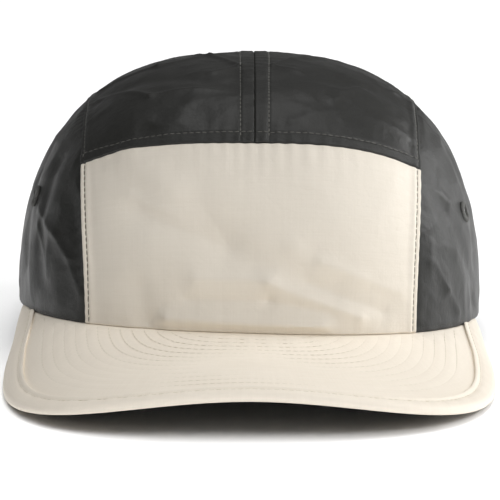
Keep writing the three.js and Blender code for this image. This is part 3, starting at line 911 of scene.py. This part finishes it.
# %% [markdown]
# Making the panels
#
# Front, top and side panels are cut from two nylons, cream and charcoal. They could be one shell
# with painted areas, but the real seams overlap and throw a thin shade. So each panel is its own
# piece, and the side panels run under the others.

# %% The five pieces of cloth
front = front_panel()
tops = {side: top_panel(side, seed) for side, seed in ((-1, 1.7), (1, 3.2))}
sides = {side: side_panel(side, seed) for side, seed in ((-1, 2.1), (1, 4.4))}
HOLE_RADIUS = 2.4
build_panel(front, 0.8, (3.2, 3.2), (1.6, 2.4), "cream_cloth", cream, "front_panel")
for side, word in ((-1, "left"), (1, "right")):
    build_panel(tops[side], 0.95, (6.8, 3.2), (5.8, 6.2), "charcoal_cloth", charcoal, f"top_panel_{word}")
    hole = (eyelet_seat(side)[0], HOLE_RADIUS * MM)
    name = f"side_panel_{word}"
    build_panel(sides[side], 0.9, (2.4, 2.4), (2.4, 2.4), "charcoal_cloth", charcoal, name, hole)

# %% [markdown]
# Stitches
#
# Each stitch is a short lozenge of thread pressed into its groove. One small sphere is modelled,
# stretched to a stitch, and copied along a row, and the rows of one thread are one joined mesh.

# %% One stitch, and rows of them


def stitch_template(length, width, height):
    bpy.ops.object.select_all(action="DESELECT")
    bpy.ops.mesh.primitive_uv_sphere_add(segments=6, ring_count=5, radius=0.5)
    ball = bpy.context.object
    bpy.ops.object.mode_set(mode="EDIT")
    bpy.ops.mesh.select_all(action="SELECT")
    bpy.ops.transform.rotate(value=math.pi / 2, orient_axis="Y", center_override=(0, 0, 0))
    bpy.ops.transform.resize(value=(length, width, height), center_override=(0, 0, 0))
    bpy.ops.object.mode_set(mode="OBJECT")
    points = np.array([v.co[:] for v in ball.data.vertices])
    faces = [list(p.vertices) for p in ball.data.polygons]
    bpy.data.objects.remove(ball)
    return points, faces


def resample(points, normals, pitch):
    """Places along a path at an even pitch, with the path's direction there."""
    steps = np.linalg.norm(np.diff(points, axis=0), axis=1)
    travelled = np.concatenate([[0], np.cumsum(steps)])
    count = max(int(travelled[-1] / pitch), 2)
    stops = (np.arange(count) + 0.5) * travelled[-1] / count
    at = lambda values, where: np.stack([np.interp(where, travelled, values[:, i]) for i in range(3)], axis=1)
    ahead, behind = at(points, stops + 0.4), at(points, stops - 0.4)
    return at(points, stops), unit(ahead - behind + 1e-9), unit(at(normals, stops))

# %% [markdown]
# Rows of stitches
#
# A row of stitches is one thread that dips into the cloth at even steps. It could be an image of
# dashes, but it has to catch the light. So one stitch is laid again and again along the row, and
# all rows of one thread are one piece.

# %% Rows


class Rows:
    """Rows of stitches that become one mesh."""

    def __init__(self, name, length, width, height):
        self.name, self.length = name, length
        self.shape, self.shape_faces = stitch_template(length, width, height)
        self.points, self.faces = [], []

    def add(self, points, normals, pitch, lift=0.05):
        places, along, normal = resample(points, normals, pitch)
        across = unit(np.cross(normal, along))
        normal = np.cross(along, across)
        for place, a, b, c in zip(places, along, across, normal):
            base = len(self.points) * len(self.shape)
            self.points.append(place + c * lift + self.shape @ np.stack([a, b, c]))
            self.faces += [[base + i for i in face] for face in self.shape_faces]

    def build(self, slot, material):
        mesh = bpy.data.meshes.new(self.name)
        mesh.from_pydata(to_frame(np.concatenate(self.points)).tolist(), [], self.faces)
        piece = bpy.data.objects.new(self.name, mesh)
        bpy.context.scene.collection.objects.link(piece)
        finish_piece(piece, slot, material)
        return piece


def panel_row(panel, across=None, along=None, span=(0.0, 1.0), count=160):
    """A row on a panel: across is its distance from the left edge (from the right if negative),
    and along its distance from the hem edge (from the far edge if negative)."""
    run = np.linspace(span[0], span[1], count)
    if across is not None:
        width = panel.width(run)
        s = across / width if across > 0 else 1 + across / width
        return panel.frame_at(s, run)
    height = panel.height(run)
    t = along / height if along > 0 else 1 + along / height
    return panel.frame_at(run, t)


STITCH_PITCH = 2.35
dark_rows = Rows("dark_stitches", 1.85, 0.42, 0.30)
edge_rows = Rows("front_edge_stitches", 2.4, 0.72, 0.34)
for across in (FRONT_EDGE_STITCH, -FRONT_EDGE_STITCH):
    edge_rows.add(*panel_row(front, across=across, span=(0.01, 0.985)), STITCH_PITCH, -0.02)
for side in (-1, 1):
    dark_rows.add(*panel_row(tops[side], across=CENTRE_STITCH, span=(0.012, 0.985), count=300), STITCH_PITCH)
    row = panel_row(tops[side], across=-EDGE_STITCH, span=(0.012, 0.99), count=300)
    dark_rows.add(*row, STITCH_PITCH, 0.0)
    dark_rows.add(*panel_row(tops[side], along=FRONT_STITCH, span=(0.01, 0.985)), STITCH_PITCH)
    dark_rows.add(*panel_row(tops[side], along=-OPENING_STITCH, span=(0.02, ARCH_SHARE)), STITCH_PITCH)
# The front edge rows take the thread whose brown is painted shade.
edge_rows.build("eyelet_thread", shade_darkened_thread)
dark_rows.build("eyelet_thread", dark_thread)

# %% [markdown]
# Eyelets
#
# A sewn eyelet is thread wound over the edge of a hole. Winding hundreds of threads would add
# nothing that shows, so a torus is flattened and its skin is raised and lowered round the ring,
# once for each turn of the thread.

# %% The sewn eyelets
EYELET_RING, EYELET_TUBE, EYELET_TURNS = 2.9, 1.1, 44


def eyelet(side, node):
    seat, axis = eyelet_seat(side)
    bpy.ops.object.select_all(action="DESELECT")
    bpy.ops.mesh.primitive_torus_add(
        major_segments=EYELET_TURNS * 4,
        minor_segments=14,
        major_radius=EYELET_RING * MM,
        minor_radius=EYELET_TUBE * MM,
    )
    ring = bpy.context.object
    ring.name = ring.data.name = "sewn_" + node
    flat = np.array([v.co[:] for v in ring.data.vertices])
    turn = np.arctan2(flat[:, 1], flat[:, 0])
    core = np.stack([np.cos(turn), np.sin(turn), 0 * turn], axis=1) * EYELET_RING * MM
    swell = 1 + 0.10 * np.cos(turn * EYELET_TURNS) + 0.05 * np.sin(turn * 7 + side)
    shape = (flat - core) * swell[:, None] * np.array([1, 1, 0.72]) + core
    along = unit(np.cross([0, 0, 1.0], axis))
    basis = np.stack([along, np.cross(axis, along), axis])
    ring.data.vertices.foreach_set("co", (shape @ basis + seat + axis * 0.15 * MM).ravel())
    ring.data.update()
    finish_piece(ring, "eyelet_thread", eyelet_thread, node)


for side, node in ((-1, "eyelet_left"), (1, "eyelet_right")):
    eyelet(side, node)

# %% [markdown]
# Peak
#
# The peak is a thin curved board between two layers of cloth, quilted with rows of stitches that
# follow its edge. Its plan is a superellipse, so each row is the same curve drawn smaller. Every
# point of the peak knows its distance from the edge, which places the rows and their soft quilting.

# %% Sizes and heights of the peak
PEAK_HALF_WIDTH = 89.0
PEAK_WIDEST = 75.0
PEAK_POWER = 3.1
PEAK_CORNER = math.radians(40)
PEAK_RISE = 13.3
BOARD = 1.8
BINDING_WALL = 0.95
EDGE_THICKNESS = BOARD + 2 * BINDING_WALL
EAR_WIDTH = 1.0
EAR_NARROWING, NARROWING_TURNS = 2.3, (math.radians(46), math.radians(58))
EAR_TAPER, TAPER_TURNS = 1.2, (math.radians(56), math.radians(70))
MIDDLE = settle(np.zeros(3))
PEAK_FORWARD = -PEAK_WIDEST - float(settle(rim_point(np.array(0.0)))[1] - PEAK_LENGTH)


def edge_distance(x, y):
    """How far inside the peak's outline a point lies, measured between like outlines."""

    def test(inset):
        across = np.abs(x / (PEAK_HALF_WIDTH - inset)) ** PEAK_POWER
        along = np.abs((y + PEAK_WIDEST) / (PEAK_FORWARD - inset)) ** PEAK_POWER
        return across + along - 1

    return solve(np.full(np.shape(x), -6.0), 86.0, test)


def peak_ray(turn):
    rim = settle(rim_point(turn))
    out = rim - MIDDLE
    out[..., 2] = 0
    start = np.linalg.norm(out, axis=-1)
    out = unit(out)

    def test(r):
        x = np.abs(out[..., 0] * r / PEAK_HALF_WIDTH) ** PEAK_POWER
        y = np.abs((MIDDLE[1] + out[..., 1] * r + PEAK_WIDEST) / PEAK_FORWARD) ** PEAK_POWER
        return x + y - 1

    away = np.abs(turn)
    narrower = EAR_NARROWING * smooth(*NARROWING_TURNS, away) + EAR_TAPER * smooth(*TAPER_TURNS, away)
    return out, start, solve(start / 2, start + 2 * PEAK_LENGTH, test) - narrower, rim[..., 2] - 0.1


def ear_turn(width):
    def test(turn):
        out, start, end, top = peak_ray(turn)
        return width - (end - start)

    return float(solve(np.array(PEAK_CORNER), math.pi / 2, test))


EAR_TURN = ear_turn(EAR_WIDTH)

# %% [markdown]
# Height of the peak
#
# The peak is a flat board that is bent, so its front edge arches and its ends come down to the
# surface. It could be bent by a deformer. Here its height follows from the turn and the distance,
# because the edge has to meet both the photographed arch and the rim of the crown.

# %% Points on the peak


def edge_height(turn):
    """The height of the peak's lower edge above the surface."""
    away = np.abs(turn)
    arch = PEAK_RISE * np.cos(math.pi / 2 * np.clip(away / PEAK_CORNER, 0, 1)) ** 2
    ear = peak_ray(np.sign(turn) * EAR_TURN + 0 * turn)[3] - BOARD - BINDING_WALL
    rise = np.clip((away - PEAK_CORNER) / (EAR_TURN - PEAK_CORNER), 0, 1.1) ** 2
    return arch + ear * rise


def peak_point(turn, distance, lift):
    """A point on or over the peak's upper face, in crown millimetres."""
    out, start, end, top = peak_ray(turn)
    edge = edge_height(turn) + EDGE_THICKNESS - BINDING_WALL
    share = np.clip((distance - start) / (end - start), -0.5, 1)
    height = mix(top, edge, np.maximum(share, 0)) + lift
    point = MIDDLE + out * distance[..., None]
    point[..., 2] = height
    return point


FIRST_ROW, ROW_PITCH, ROW_COUNT = 14.0, 4.0, 13
PEAK_TUCK = 4.0
UNDER_CLOTH = 0.4


def peak_surface(s, t):
    turn = mix(-EAR_TURN, EAR_TURN, s)
    out, start, end, top = peak_ray(turn)
    distance = mix(start - PEAK_TUCK, end - BINDING_WALL, t)
    flat = MIDDLE + out * distance[..., None]
    inside = edge_distance(flat[..., 0], flat[..., 1])
    quilted = smooth(FIRST_ROW - 3, FIRST_ROW, inside)
    row = (inside - FIRST_ROW) / ROW_PITCH
    pillow = 0.10 * (0.5 - 0.5 * np.cos(TURNS * row)) * quilted
    from_crown = np.maximum(distance - start, 0)
    lift = pillow + pucker(turn * 90, from_crown, 7.0, 0.16, 0.7) * quilted
    lift = lift + 0.25 * np.array([noise.noise(Vector(v)) for v in flat / 30.0])
    return peak_point(turn, distance, lift * smooth(-0.5, 3.0, from_crown))


# %% [markdown]
# The peak's cloth is the same cream nylon, drawn tight. The grooves of its rows are under half a
# millimetre wide, finer than the mesh, so the rows' distance is kept on the mesh as an attribute
# and the shader presses a fine groove along each row, while the stitches themselves are geometry.

# %% The peak's cloth


def peak_nylon():
    finish = Finish("peak_nylon")
    upright = finish.noise(finish.place((150.0, 5.0, 1.0)), 1.0, 2.0)
    level = finish.noise(finish.place((5.0, 150.0, 1.0)), 1.0, 2.0)
    patches = finish.noise(finish.objects(), 42.0, 2.0)
    tone = (upright + level) * 0.35 + patches * 0.3
    row = finish.node("ShaderNodeAttribute", {"attribute_name": "row"}, {}, 2)
    wave = (row * math.pi).sin().abs()
    near = 1 - (wave * 3.2).maths("MINIMUM", wave * 3.2, 1.0)
    inner = finish.node("ShaderNodeMath", {"operation": "GREATER_THAN"}, {0: row, 1: -0.4})
    fine = finish.bump((upright + level) * 1.2, 0.03 * MM)
    pressed = finish.bump(1 - near * inner, 0.05 * MM, 1.0, fine)
    creases = finish.noise(finish.objects(), 210.0, 3.0)
    crinkled = finish.bump((creases - 0.5).abs(), 0.10 * MM, 1.0, pressed)
    finish.set(Base_Color=finish.shade(tone, linear(233, 223, 207), linear(248, 239, 225)))
    finish.set(Normal=crinkled, Roughness=patches * 0.16 + 0.55, Sheen_Weight=0.03, Specular_IOR_Level=0.4)
    return finish.material


peak_cloth = peak_nylon()


def build_peak():
    piece = lay_grid("peak_cloth", 330, 78, peak_surface, (260.0, 68.0))
    face_outwards(piece, np.array([0, -0.09, -0.5]))
    points = np.empty(len(piece.data.vertices) * 3)
    piece.data.vertices.foreach_get("co", points)
    points = points.reshape(-1, 3) / MM - np.array([0, SHIFT_Y, 0])
    rows = (edge_distance(points[:, 0], points[:, 1]) - FIRST_ROW) / ROW_PITCH
    mark = piece.data.attributes.new("row", "FLOAT", "POINT")
    mark.data.foreach_set("value", rows)
    apply_modifier(piece, "SOLIDIFY", thickness=(BOARD - UNDER_CLOTH) * MM, offset=-1.0)
    finish_piece(piece, "peak_cloth", peak_cloth, "peak")


def build_underside():
    """The cloth below the board, charcoal: a dark sheet that paints the neutral, nearly black shade under the
    peak, as the underside's own colour is unknown.
    """

    def surface(s, t):
        return peak_surface(s, t) - np.array([0, 0, BOARD - UNDER_CLOTH + 0.02])

    piece = lay_grid("peak_underside", 200, 40, surface, (260.0, 68.0))
    face_outwards(piece, np.array([0, -0.09, -0.5]))
    apply_modifier(piece, "SOLIDIFY", thickness=UNDER_CLOTH * MM, offset=-1.0)
    finish_piece(piece, "charcoal_cloth", charcoal)


build_peak()
build_underside()

# %% Rows of stitches on the peak
PEAK_PITCH = 2.5


def peak_row(inset, count=420):
    """A row at an inset from the peak's outline, where it lies in front of the crown."""
    phi = np.linspace(-2.0, 2.0, count)
    power = 2 / PEAK_POWER
    x = (PEAK_HALF_WIDTH - inset) * np.sign(np.sin(phi)) * np.abs(np.sin(phi)) ** power
    y = -PEAK_WIDEST - (PEAK_FORWARD - inset) * np.sign(np.cos(phi)) * np.abs(np.cos(phi)) ** power
    distance = np.hypot(x - MIDDLE[0], y - MIDDLE[1])
    turn = np.arctan2(x, -(y - MIDDLE[1]))
    for _ in range(6):
        out = peak_ray(turn)[0]
        turn = turn + np.arctan2(x, -(y - MIDDLE[1])) - np.arctan2(out[:, 0], -out[:, 1])
    start = peak_ray(turn)[1]
    keep = (distance > start + 0.6) & (np.abs(turn) < EAR_TURN)
    points = peak_point(turn[keep], distance[keep], 0.0)
    normals = np.tile([0.0, 0.0, 1.0], (len(points), 1))
    return points, normals


peak_rows = Rows("peak_stitches", 1.9, 0.34, 0.13)
for k in range(ROW_COUNT):
    points, normals = peak_row(FIRST_ROW + k * ROW_PITCH)
    gaps = np.linalg.norm(np.diff(points, axis=0), axis=1)
    cut = int(np.argmax(gaps)) + 1 if gaps.max() > 12 else 0
    for part, way in ((points[:cut], normals[:cut]), (points[cut:], normals[cut:])):
        if len(part) > 3:
            peak_rows.add(part, way, PEAK_PITCH, 0.0)
peak_rows.build("peak_cloth", cream_thread)

# %% [markdown]
# Binding
#
# A strip of the same cloth is folded round the peak's edge and stitched through. Its inner edge is
# turned under, so it stands as a small ridge, with the stitches in a groove just outside it. A grid
# is laid along the edge, and its short side is wrapped round this section.

# %% The binding
BINDING_SECTION = [
    # inset from the peak's outline, height over the peak's upper face
    (7.7, -0.10),
    (7.75, 0.45),
    (7.5, 1.05),
    (6.9, 1.30),
    (6.2, 1.02),
    (5.5, 0.48),
    (4.9, 0.74),
    (3.8, 0.98),
    (2.4, 0.98),
    (1.1, 0.82),
    (0.30, 0.30),
    (0.0, -0.75),
    (0.25, -1.90),
    (1.0, -2.55),
    (2.6, -2.72),
    (4.6, -2.60),
    (5.5, -2.42),
    (6.6, -2.68),
    (7.6, -2.45),
    (7.7, -1.75),
]
BINDING_GROOVE = 5.5


def section_curve(t):
    """The section as a smooth curve, by shares of its length."""
    table = np.array(BINDING_SECTION)
    steps = np.concatenate([[0], np.cumsum(np.linalg.norm(np.diff(table, axis=0), axis=1))])
    fine = np.linspace(0, steps[-1], 400)
    soft = np.stack([np.interp(fine, steps, table[:, i]) for i in (0, 1)], axis=1)
    kernel = np.hanning(11) / np.hanning(11).sum()
    padded = np.pad(soft, ((5, 5), (0, 0)), mode="edge")
    soft = np.stack([np.convolve(padded[:, i], kernel, mode="valid") for i in (0, 1)], axis=1)
    return [np.interp(t, np.linspace(0, 1, 400), soft[:, i]) for i in (0, 1)]


def binding_surface(s, t):
    turn = mix(-EAR_TURN, EAR_TURN, s)
    inset, height = section_curve(t)
    out, start, end, top = peak_ray(turn)
    slant = edge_slant(turn)
    distance = end - inset * slant
    wave = pucker(turn * 110, np.abs(inset - BINDING_GROOVE), 5.0, 0.10, 2.2)
    ear = smooth(EAR_TURN - 0.02, EAR_TURN - 0.16, np.abs(turn))
    hidden = np.clip((start + 0.2 - distance) / 2.0, 0, 1)
    lift = mix(np.minimum(height, 0.0), height, 1 - hidden) + wave * ear * (height > -1)
    return peak_point(turn, np.minimum(distance, end), lift)


def edge_slant(turn):
    """How much longer an inset is along the ray than square to the edge."""
    step = 0.01
    ahead, behind = peak_ray(turn + step), peak_ray(turn - step)
    edge = (MIDDLE + ahead[0] * ahead[2][..., None]) - (MIDDLE + behind[0] * behind[2][..., None])
    along = unit(edge)
    out = peak_ray(turn)[0]
    square = np.abs(along[..., 0] * out[..., 1] - along[..., 1] * out[..., 0])
    return 1 / np.maximum(square, 0.45)


binding = lay_grid("binding_cloth", 460, 46, binding_surface, (400.0, 22.0))
face_outwards(binding, np.array([0, -0.02, 0.006]))
apply_modifier(binding, "SOLIDIFY", thickness=0.35 * MM, offset=-1.0)
finish_piece(binding, "binding_cloth", peak_cloth, "peak_binding")

binding_rows = Rows("binding_stitches", 1.9, 0.36, 0.24)
turns = np.linspace(-EAR_TURN + 0.08, EAR_TURN - 0.08, 500)
groove_distance = peak_ray(turns)[2] - BINDING_GROOVE * edge_slant(turns)
groove_points = peak_point(turns, groove_distance, 0.55)
binding_rows.add(groove_points, np.tile([0.0, 0.0, 1.0], (len(turns), 1)), PEAK_PITCH, 0.05)
binding_rows.build("binding_cloth", cream_thread)

# %% [markdown]
# Inside band and strap
#
# What the photograph doesn't show is finished plainly: a flat band inside the hem, and a webbing
# strap across the back opening that passes behind a slider's outer bars and over its middle bar.
# Both are strips, so both are grids laid on a dome that is a little smaller than the crown.

# %% The band and the strap
STRAP_WIDTH, STRAP_BASE, STRAP_TUCK, STRAP_PLAY, STRAP_THICKNESS = 20.0, 6.0, 12.0, 0.4, 1.2
BAND_WIDTH, BAND_BASE, BAND_PLAY, BAND_THICKNESS = 30.0, 0.8, 0.75, 1.2
WALL = 1.5
SLIDER_PLACE, SLIDER_BAR, SLIDER_SLOT, SLIDER_THICKNESS, SLIDER_PLAY = -14.0, 3.0, 8.0, 2.0, 0.7
TUCK_END = back_point(OPENING_HALF + STRAP_TUCK, 0.0)
TUCK_TURN = math.atan2(TUCK_END[0], -TUCK_END[1])


def strap_lift(x):
    away = np.abs(x - SLIDER_PLACE)
    lift = SLIDER_THICKNESS + 2 * SLIDER_PLAY + STRAP_THICKNESS
    return lift * (1 - smooth(SLIDER_BAR / 2, SLIDER_BAR / 2 + SLIDER_SLOT, away))


def inside_strip(first, last, base, width, play, lift, relief):
    def surface(s, t):
        rim = rim_point(mix(first, last, s))
        z = base + width * t

        def test(k):
            return 1 - reach(vectors(rim[..., 0] * k, rim[..., 1] * k, z))

        share = solve(np.zeros(np.shape(s)), 1.0, test)
        p = vectors(rim[..., 0] * share, rim[..., 1] * share, z)
        normal = dome_normal(p)
        inward = WALL + play + fold_depth(p, normal) - lift(p[..., 0]) - relief(s, t)
        return settle(p - normal * inward[..., None])

    return surface


def strip_relief(width, depth):
    return lambda s, t: -depth * (np.exp(-(t * width / 0.8) ** 2) + np.exp(-((1 - t) * width / 0.8) ** 2))


band_end = TUCK_TURN - 0.006
band = lay_grid(
    "band_cloth",
    260,
    22,
    inside_strip(
        -band_end, band_end, BAND_BASE, BAND_WIDTH, BAND_PLAY, lambda x: 0.0, strip_relief(BAND_WIDTH, 0.3)
    ),
    (480.0, 30.0),
)
face_outwards(band, CROWN_MIDDLE)
apply_modifier(band, "SOLIDIFY", thickness=BAND_THICKNESS * MM, offset=-1.0)
finish_piece(band, "band_cloth", lining, "sweatband")

# %% [markdown]
# Finishes of the strap and slider
#
# Webbing is a flat weave with ribs across it, and the slider is matt moulded plastic. Both are
# hidden in the photograph, so they stay plain and dark. A wave for the ribs and a little noise for
# the plastic are enough at this size.

# %% Webbing and slider


def webbing_finish():
    finish = Finish("ribbed_webbing")
    uv = finish.place((1.0, 1.0, 1.0))
    split = finish.tree.nodes.new("ShaderNodeSeparateXYZ")
    finish.tree.links.new(uv.socket, split.inputs[0])
    u, v = Wire(finish, split.outputs[0]), Wire(finish, split.outputs[1])
    rib = (v * (TURNS * 100 / 1.3)).sin()
    chevron = (u * (TURNS * 100 / 1.1) + rib * 1.4).sin()
    height = rib * 0.5 + chevron * 0.3
    grain = finish.noise(finish.objects(), 900.0, 2.0)
    tone = chevron * 0.2 + grain * 0.4 + 0.2
    finish.set(Base_Color=finish.shade(tone, linear(30, 30, 29), linear(66, 66, 63)))
    finish.set(Normal=finish.bump(height, 0.14 * MM), Roughness=0.72, Sheen_Weight=0.25)
    return finish.material


strap = lay_grid(
    "strap_webbing",
    240,
    20,
    inside_strip(
        2 * math.pi - TUCK_TURN,
        TUCK_TURN,
        STRAP_BASE,
        STRAP_WIDTH,
        STRAP_PLAY,
        strap_lift,
        strip_relief(STRAP_WIDTH, 0.2),
    ),
    (92.0, 20.0),
)
face_outwards(strap, CROWN_MIDDLE)
apply_modifier(strap, "SOLIDIFY", thickness=STRAP_THICKNESS * MM, offset=-1.0)
finish_piece(strap, "webbing", webbing_finish(), "back_strap")


def slider_finish():
    finish = Finish("slider_plastic")
    grain = finish.noise(finish.objects(), 1500.0, 3.0)
    wear = finish.noise(finish.objects(), 220.0, 2.0)
    finish.set(Base_Color=finish.shade(wear, linear(30, 30, 29), linear(46, 46, 44)))
    finish.set(Normal=finish.bump(grain, 0.02 * MM), Roughness=wear * 0.2 + 0.34)
    return finish.material


slider_node = frame["nodes"]["strap_slider"]
slider_node.data.materials.clear()
slider_node.data.materials.append(slider_finish())

# %% [markdown]
# Floor, light and camera
#
# The cap rests on a plain pale floor under soft light. A wide light from the right gives the crown
# its bright side, one overhead leaves the dark strip of shade under the peak, and the camera looks
# from the front, a little from above, through a long lens, as the photograph does.

# %% The floor
bpy.ops.object.select_all(action="DESELECT")
bpy.ops.mesh.primitive_plane_add(size=14, location=(0, 3, 0))
floor = bpy.context.object
floor.name = "floor"
paper = Finish("pale_floor")
paper.set(Base_Color=(0.86, 0.86, 0.86, 1.0), Roughness=0.75, Specular_IOR_Level=0.2)
floor.data.materials.append(paper.material)
floor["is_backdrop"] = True

# %% [markdown]
# Lights
#
# The photograph has one large soft light from the right, above the camera, and white all round.
# Three round area lights and a dim white world stand for it. One more light and a wide sun are
# linked to the floor and the peak alone, which keeps the floor white and the cloth dark.

# %% The lights
world = bpy.data.worlds.new("studio")
bpy.context.scene.world = world
world.use_nodes = True
world.node_tree.nodes["Background"].inputs["Color"].default_value = (1.0, 1.0, 1.0, 1.0)
world.node_tree.nodes["Background"].inputs["Strength"].default_value = 0.12


def area_light(name, place, aim, size, power):
    data = bpy.data.lights.new(name, "AREA")
    data.shape, data.size, data.energy = "DISK", size, power
    lamp = bpy.data.objects.new(name, data)
    lamp.location = place
    lamp.rotation_euler = (Vector(aim) - Vector(place)).to_track_quat("-Z", "Y").to_euler()
    bpy.context.scene.collection.objects.link(lamp)
    return lamp


CAP_AIM = (0.0, 0.0, 0.05)
area_light("key", (1.05, -0.95, 1.25), CAP_AIM, 0.7, 15.5)
area_light("side", (1.5, 0.6, 0.6), CAP_AIM, 0.8, 14.0)
area_light("overhead", (0.1, 0.25, 1.6), CAP_AIM, 0.8, 5.2)
peak_fill = area_light("peak_fill", (-0.8, -0.5, 1.4), CAP_AIM, 0.9, 5.2)

wash_data = bpy.data.lights.new("floor_wash", "SUN")
wash_data.energy, wash_data.angle = 2.1, math.radians(50)
wash = bpy.data.objects.new("floor_wash", wash_data)
bpy.context.scene.collection.objects.link(wash)


def only_on(lamp, *pieces):
    group = bpy.data.collections.new("lit_by_" + lamp.name)
    for piece in pieces:
        group.objects.link(piece)
    lamp.light_linking.receiver_collection = group


peak_pieces = [o for o in bpy.data.objects if o.name.startswith(("peak_", "binding_")) and o.type == "MESH"]
only_on(wash, floor)
only_on(peak_fill, floor, *peak_pieces)

# %% [markdown]
# Camera
#
# The photograph was taken from the front with a long lens, about 12 degrees above the cap. The focal
# length and the place of the middle row were fitted to its outline, so they are numbers here. The
# standard view keeps the cream as bright as it is there.

# %% The camera
DISTANCE = 1600.0
ELEVATION = math.radians(12.0)
FOCAL_PIXELS = 4216.0
IMAGE_PIXELS = 500.0
CENTRE_ROW = 199.36
TARGET = np.array([0.28, 0.0, 50.0])
SENSOR = 36.0

up = np.array([0, math.sin(ELEVATION), math.cos(ELEVATION)])
back = np.array([0, -math.cos(ELEVATION), math.sin(ELEVATION)])
drop = (IMAGE_PIXELS / 2 - CENTRE_ROW) / FOCAL_PIXELS * DISTANCE
eye = to_frame(TARGET + back * DISTANCE)
aim = to_frame(TARGET - up * drop)
lens = bpy.data.cameras.new("camera")
lens.sensor_width = SENSOR
lens.lens = SENSOR * FOCAL_PIXELS / IMAGE_PIXELS
lens.clip_end = 60
camera = bpy.data.objects.new("camera", lens)
camera.location = eye
camera.rotation_euler = Vector(aim - eye).to_track_quat("-Z", "Y").to_euler()
bpy.context.scene.collection.objects.link(camera)
bpy.context.scene.camera = camera
bpy.context.scene.view_settings.view_transform = "Standard"

# %% [markdown]
# Sizes
#
# The bounds of the dressed cap are printed beside those of the solids. The dressed cap
# has to stay inside the solids, but for what cloth stands proud.

# %% Sizes and the end
bpy.context.view_layer.update()
sizes = {"cad": [list(c) for c in cad_bounds], "scene": [list(c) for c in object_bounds()]}
print("cad", sizes["cad"], "scene", sizes["scene"])
